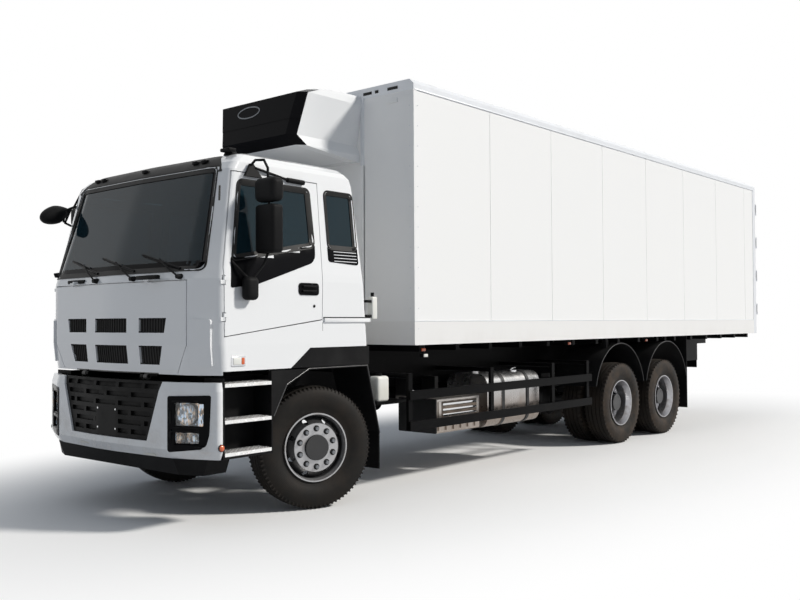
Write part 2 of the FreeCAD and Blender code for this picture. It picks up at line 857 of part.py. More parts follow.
def tilt_arms():
    """The two arms under the cab's front that turn on the frame's pins, and the beam they hang from."""
    web_front_y = tilt_y + seam_gap / 2
    beam_bottom_z = tilt_z + tilt_boss_radius + seam_gap
    arms = []
    for side in (-1, 1):
        low, high = sorted((side * tilt_arm_x, side * (tilt_arm_x + tilt_arm_width)))
        arm = fuse([x_rod(tilt_boss_radius, low, high, tilt_y, tilt_z),
                    box(low, high, web_front_y, web_front_y + tilt_web_depth, tilt_z, cab_floor_z)])
        arms.append(arm.cut(x_rod(tilt_pin_radius + pin_clearance, low - overrun, high + overrun, tilt_y, tilt_z)))
    beam = box(-(tilt_arm_x + tilt_arm_width), tilt_arm_x + tilt_arm_width, web_front_y,
               web_front_y + tilt_beam_depth, beam_bottom_z, cab_floor_z)
    panel_room = box(-half_cab, half_cab, cab_front_y - overrun, door_front_y, panel_bottom_z - seam_gap,
                     cab_floor_z + overrun).cut(cab_solid(panel_thickness + panel_gap_behind))
    return [piece.cut(panel_room) for piece in arms + [beam]]


def tilt_notches():
    """Room in the cab's front wall for the frame's two pin plates."""
    return both_sides(box(tilt_bracket_x - seam_gap, tilt_arm_x, cab_front_y - overrun,
                          tilt_y + tilt_beam_depth, cab_bottom_z - overrun,
                          tilt_z + tilt_boss_radius + seam_gap))


def build_cab_inside(inner, tunnel):
    top = cab_floor_z + cab_floor_thickness
    slab = inner.common(box(-half_cab, half_cab, cab_front_y, cab_rear_y, cab_floor_z, top))
    lid = inner.common(box(-tunnel_half_width - cab_floor_thickness, tunnel_half_width + cab_floor_thickness,
                           tunnel_front_y - cab_floor_thickness, cab_rear_y, cab_floor_z,
                           tunnel_top_z + cab_floor_thickness))
    save("cab_floor", fuse([slab, lid]).cut(tunnel))

    seats = []
    cushion_bottom = seat_cushion_top_z - seat_cushion_height
    for x in (-seat_x, seat_x):
        left, right = x - seat_width / 2, x + seat_width / 2
        front_y = seat_rear_y - seat_back_depth - seat_depth
        cushion = rounded_side_prism([(front_y, cushion_bottom), (seat_rear_y, cushion_bottom),
                                      (seat_rear_y, seat_cushion_top_z), (front_y, seat_cushion_top_z)],
                                     seat_corner, left, right)
        lean = seat_back_depth / 2
        back = rounded_side_prism([(seat_rear_y - seat_back_depth, seat_cushion_top_z - overrun),
                                   (seat_rear_y, seat_cushion_top_z - overrun),
                                   (seat_rear_y + lean, seat_cushion_top_z + seat_back_height),
                                   (seat_rear_y + lean - seat_back_depth, seat_cushion_top_z + seat_back_height)],
                                  seat_corner, left, right)
        base = box(x - seat_base_half, x + seat_base_half, seat_rear_y - seat_depth, seat_rear_y - seat_back_depth,
                   top, cushion_bottom + overrun)
        seats.append(fuse([cushion, back, base]))
    save("seats", Part.makeCompound(seats))

    dash_front = inner.common(box(-dash_half_width, dash_half_width, cab_front_y, cab_front_y + cab_wall + dash_depth,
                                  dash_bottom_z, dash_top_z))
    lean = math.radians(steering_lean_deg)
    axis = Vector(0, math.sin(lean), math.cos(lean))
    centre = Vector(seat_x, steering_y, steering_z)
    ring = Part.makeTorus(steering_ring_radius, steering_ring_tube, centre, axis)
    spoke = rod(steering_ring_tube, centre - Vector(steering_ring_radius, 0, 0),
                centre + Vector(steering_ring_radius, 0, 0))
    column = rod(steering_column_radius, centre, Vector(seat_x, cab_front_y + dash_depth, dash_top_z - dash_depth / 2))
    save("dashboard", fuse([dash_front, ring, spoke, column]))


def mirror_housing(x, y, z0, height, width, depth):
    """A mirror's shell with its back to the front of the vehicle."""
    points = [Vector(x - width / 2, y - depth / 2, z0), Vector(x + width / 2, y - depth / 2, z0),
              Vector(x + width / 2, y + depth / 2, z0), Vector(x - width / 2, y + depth / 2, z0)]
    return rounded_prism(points, mirror_corner, Vector(0, 0, height))


def build_mirrors():
    """The two mirrors on each door with their tube arm, and the small one over the right front corner."""
    small_z = large_mirror_bottom_z + large_mirror_height + small_mirror_gap
    top_z = small_z + small_mirror_height + mirror_arm_reach / 2
    low_z = large_mirror_bottom_z - mirror_arm_reach
    arm_y = mirror_y - mirror_depth / 2
    wall_x = half_cab * cab_section_shares[4][1]
    foot_y = arm_y - mirror_arm_lean
    start = Vector(wall_x - overrun, foot_y, top_z - mirror_arm_reach)
    end = Vector(hinge_x - overrun, foot_y, low_z - mirror_arm_drop)
    path = [start, Vector(mirror_x, arm_y, top_z), Vector(mirror_x, arm_y, low_z), end]
    arm = tube_through(path, mirror_tube_radius, mirror_tube_radius * 3)
    feet = [box(start.x, start.x + mirror_foot_reach, foot_y - mirror_foot_half, foot_y + mirror_foot_half,
                start.z - mirror_foot_half, start.z + mirror_foot_half),
            box(end.x, end.x + mirror_foot_reach, foot_y - mirror_foot_half, foot_y + mirror_foot_half,
                end.z - mirror_foot_half * 2, end.z + mirror_foot_half)]
    large = mirror_housing(mirror_x, mirror_y, large_mirror_bottom_z, large_mirror_height, mirror_width, mirror_depth)
    small = mirror_housing(mirror_x, mirror_y, small_z, small_mirror_height, mirror_width, mirror_depth)
    mirrors = fuse([arm, large, small] + feet)
    mirrors = mirrors.cut(cab_solid(0))
    save("mirrors_left", mirrors)
    save("mirrors_right", mirrored(mirrors))
    glass = mirror_housing(front_mirror_x, front_mirror_y, front_mirror_z - front_mirror_height / 2,
                           front_mirror_height, front_mirror_width, front_mirror_depth)
    foot = Vector(-half_cab * cab_section_shares[4][1] + cab_wall, door_front_top_y, front_mirror_z)
    stalk = rod(mirror_tube_radius, Vector(front_mirror_x, front_mirror_y, front_mirror_z), foot)
    save("front_mirror", fuse([glass, stalk]).cut(cab_solid(0)))


# Wheels, built about the X axis at the middle of the vehicle and then set in place
def tyre():
    half = tyre_width / 2
    bead = tyre_bead_width / 2
    tread = tyre_tread_width / 2
    half_outline = [(bead, rim_seat_radius + seat_gap), (bead, rim_lip_radius + tyre_bead_height),
                    (half, tyre_bulge_radius), (half, tyre_shoulder_radius),
                    (tread, tyre_radius - tyre_shoulder_drop), (tread / 2, tyre_radius)]
    outline = half_outline + [(-x, radius) for x, radius in reversed(half_outline)]
    return revolved(outline)


def rim_barrel(middle_x):
    """The rim's outline about one tyre: lips, seat and a drawn-in inner face."""
    bead = tyre_bead_width / 2
    lip = bead + rim_lip_width
    half = [(bead, rim_seat_radius), (bead, rim_lip_radius), (lip, rim_lip_radius),
            (lip, rim_lip_radius - rim_metal), (bead / 2, rim_well_radius)]
    outline = half + [(-x, radius) for x, radius in reversed(half)]
    return [(middle_x + x, radius) for x, radius in outline]


def ring_outline(x0, x1, inner, outer):
    return [(x0, inner), (x1, inner), (x1, outer), (x0, outer)]


def one_way_round(outline):
    """The outline with its points in the same sense whichever way it was written."""
    area = sum(outline[i - 1][0] * outline[i][1] - outline[i][0] * outline[i - 1][1] for i in range(len(outline)))
    return outline if area > 0 else outline[::-1]


def turned(outlines):
    """Join outlines of (x, radius) points in the plane and turn the result about the X axis."""
    faces = [face_of([Vector(x, 0, radius) for x, radius in one_way_round(outline)]) for outline in outlines]
    joined = faces[0].fuse(faces[1:]).removeSplitter()
    turns = [face.revolve(Vector(0, 0, 0), Vector(1, 0, 0), 360) for face in joined.Faces]
    return fuse(turns) if len(turns) > 1 else turns[0]


def hand_holes(x0, x1):
    """The vent holes round a wheel disc."""
    holes = []
    for index in range(hand_hole_count):
        angle = 2 * math.pi * (index + 0.5) / hand_hole_count
        y = hand_hole_circle_radius * math.cos(angle)
        z = hand_hole_circle_radius * math.sin(angle)
        holes.append(x_rod(hand_hole_radius, x0, x1, y, z))
    return holes


def front_rim():
    """Rim, dished disc, hub and brake drum of a front wheel, with the outside at +X."""
    half = tyre_width / 2
    bore = stub_radius + pin_clearance
    well = rim_well_radius + rim_metal / 2
    disc_x = half - front_disc_inset
    disc_back = disc_x - disc_thickness
    foot = disc_x - front_disc_fall
    shoulder = hand_hole_circle_radius - hand_hole_radius - hand_hole_margin
    disc = [(disc_back, bore), (disc_x, bore), (disc_x, shoulder), (foot, well), (foot - disc_thickness, well),
            (disc_back, shoulder)]
    hub_start = pivot_x + fork_reach + fork_web - front_wheel_x + seam_gap
    hub_end = half + front_hub_reach
    outlines = [rim_barrel(0), disc, ring_outline(hub_start, hub_end, bore, hub_radius),
                ring_outline(hub_end - hub_cap_thickness, hub_end, 0, hub_radius),
                ring_outline(half - front_drum_inset, disc_back, drum_radius - drum_metal, drum_radius),
                ring_outline(disc_back - drum_metal, disc_back, bore, drum_radius)]
    return turned(outlines).cut(hand_holes(foot - disc_thickness - overrun, disc_x + overrun))


def twin_rim():
    """The two rims of a twin wheel, their discs back to back, the hub and the drum, with the outside at +X."""
    tyre_mid = (tyre_width + twin_gap) / 2
    bore = stub_radius + pin_clearance
    well = rim_well_radius + rim_metal / 2
    foot = tyre_mid - tyre_bead_width / 4
    shoulder = hand_hole_circle_radius - hand_hole_radius - hand_hole_margin
    outer_half = [(disc_thickness, bore), (disc_thickness, shoulder), (foot + disc_thickness, well), (foot, well)]
    disc = outer_half + [(0, shoulder)] + [(-x, radius) for x, radius in reversed(outer_half)]
    hub_end = tyre_mid + tyre_width / 2 + rear_hub_reach - tyre_bead_width / 2
    outlines = [disc, rim_barrel(tyre_mid), rim_barrel(-tyre_mid), ring_outline(-foot, hub_end, bore, hub_radius),
                ring_outline(hub_end - hub_cap_thickness, hub_end, 0, hub_radius),
                ring_outline(-tyre_width, -disc_thickness, drum_radius - drum_metal, drum_radius),
                ring_outline(-disc_thickness - drum_metal, -disc_thickness, bore, drum_radius)]
    return turned(outlines).cut(hand_holes(-tyre_mid, tyre_mid))


def steered(shape, side):
    """Turn a piece about its king pin to the angle that the wheels stand at."""
    swung = shape.copy()
    swung.rotate(Vector(side * pivot_x, 0, axle_z), Vector(0, 0, 1), rest_steer_deg)
    return swung


def build_wheels():
    tyre_shape = tyre()
    front_shape = front_rim()
    twin_shape = twin_rim()
    tyre_mid = (tyre_width + twin_gap) / 2
    for side, word in ((1, "left"), (-1, "right")):
        for source, name in ((tyre_shape, "front_tyre_"), (front_shape, "front_rim_")):
            shape = source if side > 0 else mirrored(source)
            shape = shape.copy()
            shape.translate(Vector(side * front_wheel_x, 0, axle_z))
            save(name + word, steered(shape, side))
        save("knuckle_" + word, steered(knuckle(side), side))
        for axle_y, place in zip(rear_axles_y, ("fore", "aft")):
            tyres = []
            for offset in (-tyre_mid, tyre_mid):
                shape = tyre_shape.copy()
                shape.translate(Vector(side * (twin_mid_x + offset), axle_y, axle_z))
                tyres.append(shape)
            save("rear_tyres_" + place + "_" + word, Part.makeCompound(tyres))
            rim = (twin_shape if side > 0 else mirrored(twin_shape)).copy()
            rim.translate(Vector(side * twin_mid_x, axle_y, axle_z))
            save("rear_rims_" + place + "_" + word, rim)


def knuckle(side):
    """Fork, king pin and stub axle, straight ahead, before it is turned."""
    half_eye = beam_eye_height / 2
    lower = axle_z - half_eye - seat_gap
    upper = axle_z + half_eye + seat_gap
    x0, x1 = pivot_x - beam_eye_radius, pivot_x + fork_reach + fork_web
    half_fork = beam_eye_radius
    parts = [box(pivot_x, x1, -half_fork, half_fork, lower - fork_arm_height, lower),
             box(pivot_x, x1, -half_fork, half_fork, upper, upper + fork_arm_height),
             z_rod(beam_eye_radius, lower - fork_arm_height, lower, pivot_x, 0),
             z_rod(beam_eye_radius, upper, upper + fork_arm_height, pivot_x, 0),
             box(pivot_x + fork_reach, x1, -half_fork, half_fork, lower - fork_arm_height, upper + fork_arm_height),
             z_rod(king_pin_radius, lower, upper, pivot_x, 0),
             x_rod(stub_radius, x1, x1 + stub_length, 0, axle_z)]
    shape = fuse(parts)
    return shape if side > 0 else mirrored(shape)


def leaf_spring(middle_y, axle_top, x, length):
    """A stack of leaves, each shorter than the one above, curved up at the ends."""
    leaves = []
    for index in range(leaf_count):
        share = 1 - index / (leaf_count + 1)
        half = length / 2 * share
        rise = spring_camber * share * share
        z = axle_top - leaf_overlap + (leaf_count - 1 - index) * (leaf_thickness - leaf_overlap)
        low = [Vector(x, middle_y - half, z + rise), Vector(x, middle_y, z), Vector(x, middle_y + half, z + rise)]
        high = [p + Vector(0, 0, leaf_thickness) for p in low]
        wire = Part.Wire([Part.Arc(*low).toShape(), Part.LineSegment(low[2], high[2]).toShape(),
                          Part.Arc(high[2], high[1], high[0]).toShape(),
                          Part.LineSegment(high[0], low[0]).toShape()])
        leaves.append(Part.Face(wire).extrude(Vector(spring_width, 0, 0)))
    return leaves


def build_axles():
    beam_top = axle_z + beam_height / 2
    beam_low = axle_z - beam_height / 2
    outline = [(-pivot_x, beam_low), (-beam_bend_outer_x, beam_low), (-beam_bend_inner_x, beam_low - beam_drop),
               (beam_bend_inner_x, beam_low - beam_drop), (beam_bend_outer_x, beam_low), (pivot_x, beam_low),
               (pivot_x, beam_top), (beam_bend_outer_x, beam_top), (beam_bend_inner_x, beam_top - beam_drop),
               (-beam_bend_inner_x, beam_top - beam_drop), (-beam_bend_outer_x, beam_top), (-pivot_x, beam_top)]
    half_eye = beam_eye_height / 2
    parts = [front_prism(outline, -beam_width / 2, beam_width / 2)]
    for side in (-1, 1):
        parts.append(z_rod(beam_eye_radius, axle_z - half_eye, axle_z + half_eye, side * pivot_x, 0))
    holes = [z_rod(king_pin_radius + pin_clearance, 0, axle_z * 2, side * pivot_x, 0) for side in (-1, 1)]
    seat_z = beam_top - beam_drop
    hangers = []
    for side in (-1, 1):
        x = side * front_spring_x - spring_width / 2
        parts += leaf_spring(0, seat_z, x, front_spring_length)
        leaf_end_z = seat_z + (leaf_count - 1) * leaf_thickness + spring_camber
        for end in (-1, 1):
            y = end * (front_spring_length / 2 - hanger_length / 2)
            hangers.append(box(x, x + hanger_thickness, y - hanger_length / 2, y + hanger_length / 2, leaf_end_z,
                               rail_bottom_z))
            hangers.append(box(x + spring_width - hanger_thickness, x + spring_width, y - hanger_length / 2,
                               y + hanger_length / 2, leaf_end_z, rail_bottom_z))
    save("front_axle", fuse(parts + hangers).cut(holes))

    rear = []
    for axle_y in rear_axles_y:
        rear.append(x_rod(axle_tube_radius, -axle_tube_reach_x, axle_tube_reach_x, axle_y, axle_z))
        stub_end = twin_mid_x + (rear_track_outer / 2 - twin_mid_x) / 2
        rear.append(x_rod(stub_radius, -stub_end, stub_end, axle_y, axle_z))
        housing = revolved([(-diff_half_width, 0), (-diff_half_width, axle_tube_radius),
                            (-diff_half_width / 2, diff_radius), (diff_half_width / 2, diff_radius),
                            (diff_half_width, axle_tube_radius), (diff_half_width, 0)])
        housing.translate(Vector(0, axle_y, axle_z))
        rear.append(housing)
    nose_reach = diff_radius + flange_length
    rear.append(y_rod(flange_radius, rear_axles_y[0] - nose_reach, rear_axles_y[0] + nose_reach, 0, shaft_z))
    rear.append(y_rod(flange_radius, rear_axles_y[1] - nose_reach, rear_axles_y[1], 0, shaft_z))
    rear.append(x_rod(trunnion_radius, -rear_spring_x - spring_width, rear_spring_x + spring_width, bogie_mid_y,
                      trunnion_z))
    for side in (-1, 1):
        x = side * rear_spring_x - spring_width / 2
        spring_z = trunnion_z + trunnion_radius
        rear += leaf_spring(bogie_mid_y, spring_z - leaf_thickness, x, rear_spring_length)
        for axle_y in rear_axles_y:
            toward = math.copysign(leaf_thickness * 2, bogie_mid_y - axle_y)
            y0, y1 = sorted((axle_y, axle_y + toward + math.copysign(axle_tube_radius, toward)))
            rear.append(box(x, x + spring_width, y0, y1, axle_z, spring_z + (leaf_count + 1) * leaf_thickness
                            + spring_camber))
        low, high = sorted((side * (rail_outer_x - rail_flange), side * rail_outer_x))
        rear.append(side_prism([(bogie_mid_y - trunnion_radius, trunnion_z), (bogie_mid_y + trunnion_radius, trunnion_z),
                                (bogie_mid_y + trunnion_bracket_length / 2, rail_bottom_z),
                                (bogie_mid_y - trunnion_bracket_length / 2, rail_bottom_z)], low, high))
    rear.append(y_rod(shaft_radius, gearbox_rear_y + flange_length, rear_axles_y[1] - nose_reach, 0, shaft_z))
    save("rear_bogie", fuse(rear))


def build_frame():
    inner_x = rail_outer_x - rail_web
    rails = []
    for side in (-1, 1):
        points = [(rail_outer_x, rail_bottom_z), (rail_outer_x, rail_top_z), (rail_outer_x - rail_flange, rail_top_z),
                  (rail_outer_x - rail_flange, rail_top_z - rail_web), (inner_x, rail_top_z - rail_web),
                  (inner_x, rail_bottom_z + rail_web), (rail_outer_x - rail_flange, rail_bottom_z + rail_web),
                  (rail_outer_x - rail_flange, rail_bottom_z)]
        rails.append(front_prism([(side * x, z) for x, z in points], rail_front_y, rail_rear_y))
    middle_z = (rail_bottom_z + rail_top_z) / 2
    stations = [rail_front_y, gearbox_rear_y + cross_member_depth, tank_front_y + tank_length / 2,
                rear_axles_y[0] - tyre_radius - cross_member_depth, bogie_mid_y, rear_axles_y[1] + tyre_radius + overrun,
                (rear_axles_y[1] + rail_rear_y) / 2]
    members = [box(-inner_x, inner_x, y, y + cross_member_depth, middle_z - cross_member_height / 2,
                   middle_z + cross_member_height / 2) for y in stations]
    tow = box(-tow_plate_half_width, tow_plate_half_width, rail_rear_y - tow_plate_thickness, rail_rear_y,
              tow_plate_bottom_z, rail_top_z - rail_web)
    holes = []
    for x in (-tow_hole_span_x / 2, tow_hole_span_x / 2):
        for z in (tow_hole_mid_z - tow_hole_span_z / 2, tow_hole_mid_z + tow_hole_span_z / 2):
            holes.append(y_rod(tow_hole_radius, rail_rear_y - 2 * overrun, rail_rear_y + overrun, x, z))
    fronts = []
    for side in (-1, 1):
        low, high = sorted((side * tilt_bracket_x, side * (tilt_bracket_x + tilt_plate_width)))
        fronts.append(side_prism([(tilt_y, tilt_z - tilt_boss_radius), (rail_front_y, rail_bottom_z),
                                  (rail_front_y + overrun, rail_bottom_z),
                                  (rail_front_y + overrun, rail_top_z - rail_web),
                                  (tilt_y, tilt_z + tilt_boss_radius)], low, high))
        fronts.append(x_rod(tilt_boss_radius, low, high, tilt_y, tilt_z))
        start, end = sorted((side * tilt_bracket_x, side * (tilt_arm_x + tilt_arm_width)))
        fronts.append(x_rod(tilt_pin_radius, start, end, tilt_y, tilt_z))
        rest0, rest1 = sorted((side * (rail_outer_x - rail_flange), side * rail_outer_x))
        fronts.append(box(rest0, rest1, cab_rest_y, cab_rest_y + cab_rest_length, rail_top_z, cab_floor_z - seat_gap))
    save("frame", fuse(rails + members + [tow] + fronts).cut(holes))

    sub = []
    for side in (-1, 1):
        low, high = sorted((side * (subframe_x - subframe_width / 2), side * (subframe_x + subframe_width / 2)))
        sub.append(box(low, high, subframe_front_y, subframe_rear_y, rail_top_z, box_bottom_z - bearer_height))
    for y in bearers():
        sub.append(box(-bearer_reach_x, bearer_reach_x, y, y + bearer_width, box_bottom_z - bearer_height, box_bottom_z))
    save("subframe", fuse(sub))

    block = box(-engine_half_width, engine_half_width, engine_front_y, engine_rear_y, engine_bottom_z, engine_top_z)
    block = block.makeChamfer(engine_edge, [e for e in block.Edges if e.Length > engine_rear_y - engine_front_y - 1])
    feet = []
    for side in (-1, 1):
        low, high = sorted((side * (engine_half_width - overrun), side * (inner_x - seat_gap)))
        for y in (engine_front_y + engine_foot_length, engine_rear_y - 2 * engine_foot_length):
            feet.append(box(low, high, y, y + engine_foot_length, rail_bottom_z + rail_web,
                            rail_bottom_z + rail_web + engine_foot_height))
    gearbox = y_rod(gearbox_radius, engine_rear_y, gearbox_rear_y, 0, gearbox_z)
    output = y_rod(flange_radius, gearbox_rear_y, gearbox_rear_y + flange_length, 0, shaft_z)
    save("engine", fuse([block, gearbox, output] + feet))


def bearers():
    """Where each cross bearer under the box starts."""
    first = box_front_y + bearer_pitch / 3
    count = int((subframe_rear_y - first - bearer_width) / bearer_pitch) + 1
    return [first + index * bearer_pitch for index in range(count)]


def bumper_section(z, inset):
    half = bumper_half_width - inset
    corner_y = bumper_corner_y + inset
    mid_x = bumper_mid_x - inset / 2
    points = [Vector(half, bumper_rear_y + inset, z), Vector(half, corner_y, z),
              Vector(mid_x, bumper_mid_y + inset, z), Vector(bumper_flat_half, bumper_front_y + inset, z),
              Vector(-bumper_flat_half, bumper_front_y + inset, z), Vector(-mid_x, bumper_mid_y + inset, z),
              Vector(-half, corner_y, z),
              Vector(-half, bumper_rear_y + inset, z)]
    edge = bumper_wall / 8
    front = cab_front_radius / 2
    radii = [edge, bumper_corner_radius, cab_bend_radius, front, front, cab_bend_radius, bumper_corner_radius, edge]
    return rounded_wire(points, radii)


def bumper_solid(inset):
    """The bumper's outer form, drawn in by an inset, with its top and bottom edges turned back."""
    edge = bumper_edge_inset
    levels = ((bumper_bottom_z, edge), (bumper_bottom_z + bumper_edge_height, 0),
              (bumper_top_z - bumper_edge_height, 0), (bumper_top_z, edge / 2))
    return Part.makeLoft([bumper_section(z, inset + turn) for z, turn in levels], True, True)


def lamp_outline(border, z0, z1):
    return [(lamp_inner_x + border, z0 + border), (lamp_outer_x - border, z0 + border),
            (lamp_outer_x - border, z1 - border), (lamp_inner_x + border, z1 - border)]


def build_front_end():
    ahead = -front_overhang - overrun
    rear = bumper_rear_y
    outer = bumper_solid(0)
    hollow = bumper_solid(bumper_wall)
    opening = front_prism([(-bumper_opening_half_bottom, bumper_opening_bottom_z),
                           (bumper_opening_half_bottom, bumper_opening_bottom_z),
                           (bumper_opening_half_top, bumper_top_z), (-bumper_opening_half_top, bumper_top_z)],
                          ahead, rear)
    lamp_hole = rounded_front_prism(lamp_outline(0, lamp_bottom_z, lamp_top_z), lamp_corner, ahead, rear)
    behind = box(-half_box, half_box, rear, rear + 2 * overrun, bumper_bottom_z - overrun, bumper_top_z + overrun)
    skin = outer.cut(hollow).cut([opening, lamp_hole, mirrored(lamp_hole), behind])
    brackets = []
    for side in (-1, 1):
        low, high = sorted((side * bumper_bracket_x, side * (bumper_bracket_x + bumper_bracket_width)))
        brackets.append(side_prism([(bumper_front_y + bumper_wall * 1.5, bumper_bottom_z + bumper_wall),
                                    (rail_front_y, bumper_bottom_z + bumper_wall * 2), (rail_front_y, rail_bottom_z + bumper_wall),
                                    (rail_front_y - bumper_wall * 2, rail_bottom_z + bumper_wall),
                                    (rail_front_y - bumper_wall * 2, bumper_opening_bottom_z),
                                    (bumper_front_y + bumper_wall * 1.5, bumper_opening_bottom_z - bumper_wall / 2)], low, high))
    save("bumper", fuse([skin] + brackets))

    face = bumper_solid(lower_grille_inset)
    back = bumper_solid(lower_grille_inset + lower_grille_thickness)
    trim = seat_gap
    stock = front_prism([(-bumper_opening_half_bottom + trim, bumper_opening_bottom_z + trim),
                         (bumper_opening_half_bottom - trim, bumper_opening_bottom_z + trim),
                         (bumper_opening_half_top - trim, bumper_top_z), (-bumper_opening_half_top + trim, bumper_top_z)],
                        ahead, rear)
    grille = face.cut(back).common(stock)
    cutter = bumper_solid(lower_grille_inset + lower_grille_slot_depth)
    slots = []
    rows = int((bumper_top_z - bumper_opening_bottom_z) / lower_grille_slot_pitch)
    for row in range(rows):
        z = bumper_opening_bottom_z + lower_grille_slot_pitch / 2 + row * lower_grille_slot_pitch
        shift = (row % 2) * (lower_grille_slot_length + lower_grille_rib) / 2
        step = lower_grille_slot_length + lower_grille_rib
        width_here = bumper_opening_half_bottom + (bumper_opening_half_top - bumper_opening_half_bottom) * (
            z - bumper_opening_bottom_z) / (bumper_top_z - bumper_opening_bottom_z) - lower_grille_rib
        edge = -step * 3 + shift
        while edge < width_here:
            low, high = max(edge, -width_here), min(edge + lower_grille_slot_length, width_here)
            if high - low > lower_grille_rib:
                slots.append(box(low, high, ahead, rear, z, z + lower_grille_slot_height))
            edge += step
    pad = box(-plate_pad_half, plate_pad_half, ahead, rear, plate_pad_bottom_z, plate_pad_top_z)
    grille = grille.cut(Part.makeCompound(slots).cut(pad).cut(cutter))
    plate_holes = [y_rod(plate_hole_radius, ahead, rear, x, z) for x in (-plate_hole_x, plate_hole_x)
                   for z in (plate_hole_low_z, plate_hole_high_z)]
    save("lower_grille", grille.cut(plate_holes))

    levels = ((valance_bottom_z, bumper_edge_inset * 2), (bumper_bottom_z - seat_gap, 0))
    sections = []
    for z, turn in levels:
        half = valance_half_width - turn
        front = valance_front_y + turn
        points = [Vector(half, valance_rear_y, z), Vector(half, bumper_corner_y, z), Vector(bumper_mid_x, front + overrun, z),
                  Vector(-bumper_mid_x, front + overrun, z), Vector(-half, bumper_corner_y, z), Vector(-half, valance_rear_y, z)]
        sections.append(Part.makePolygon(points + [points[0]]))
    valance = Part.makeLoft(sections, True, True)
    inner = front_prism([(-valance_half_width + bumper_edge_inset * 2 + valance_wall, valance_bottom_z - overrun),
                         (valance_half_width - bumper_edge_inset * 2 - valance_wall, valance_bottom_z - overrun),
                         (valance_half_width - bumper_edge_inset * 2 - valance_wall, bumper_bottom_z - valance_wall),
                         (-valance_half_width + bumper_edge_inset * 2 + valance_wall, bumper_bottom_z - valance_wall)],
                        bumper_corner_y, valance_rear_y + overrun)
    save("valance", valance.cut(inner))

    body = outer.cut(bumper_solid(lamp_depth))
    lamp = body.common(rounded_front_prism(lamp_outline(seat_gap, lamp_bottom_z, lamp_top_z), lamp_corner, ahead, rear))
    recess_floor = bumper_solid(lamp_recess)
    lens_sheet = bumper_solid(lamp_lens_inset).cut(bumper_solid(lamp_lens_inset + lamp_lens_thickness))
    lenses = []
    for z0, z1 in ((lamp_bottom_z, lamp_split_z), (lamp_split_z - lamp_border, lamp_top_z)):
        well = rounded_front_prism(lamp_outline(lamp_border, z0, z1), lamp_corner / 2, ahead, rear)
        lamp = lamp.cut(well.cut(recess_floor))
        lenses.append(lens_sheet.common(rounded_front_prism(lamp_outline(lamp_border + seat_gap, z0, z1),
                                                            lamp_corner / 2, ahead, rear)))
    save("headlamps", both_sides(lamp))
    save("headlamp_lenses", both_sides(Part.makeCompound(lenses)))

    well = box(step_inner_x, step_outer_x, step_front_y, step_rear_y, step_bottom_z, step_top_z)
    well = well.cut(box(step_inner_x + step_wall, step_outer_x + overrun, step_front_y + step_wall,
                        step_rear_y - step_wall, step_bottom_z + step_wall, step_top_z + overrun))
    arm_z = rail_bottom_z + bracket_height
    arm = box(rail_outer_x, step_inner_x, step_rear_y - overrun, step_rear_y, rail_bottom_z, arm_z)
    treads = []
    for z in tread_levels_z:
        treads.append(box(step_inner_x + step_wall / 2, step_outer_x, step_front_y + step_wall / 2,
                          step_rear_y - step_wall / 2, z, z + tread_height))
    leg = side_prism([(step_rear_y - step_wall, lip_front_z), (lip_front_y - seat_gap, lip_front_z),
                      (lip_shoulder_y - seat_gap, lip_shoulder_z + seat_gap), (lip_top_y, lip_top_z + seat_gap),
                      (step_rear_y - step_wall, lip_top_z + seat_gap)],
                     trim_inner_x, step_outer_x)
    save("steps", both_sides(fuse([well, arm, leg] + treads)))


def arc_guard(middle_y, middle_z, radius, start_deg, end_deg, x0, x1):
    """A curved mudguard skin between two angles, measured from the rear level up over the top."""
    def place(r, angle):
        return Vector(x0, middle_y + r * math.cos(math.radians(angle)), middle_z + r * math.sin(math.radians(angle)))
    middle = (start_deg + end_deg) / 2
    inner = radius - guard_skin
    wire = Part.Wire([Part.Arc(place(radius, start_deg), place(radius, middle), place(radius, end_deg)).toShape(),
                      Part.LineSegment(place(radius, end_deg), place(inner, end_deg)).toShape(),
                      Part.Arc(place(inner, end_deg), place(inner, middle), place(inner, start_deg)).toShape(),
                      Part.LineSegment(place(inner, start_deg), place(radius, start_deg)).toShape()])
    return Part.Face(wire).extrude(Vector(x1 - x0, 0, 0))


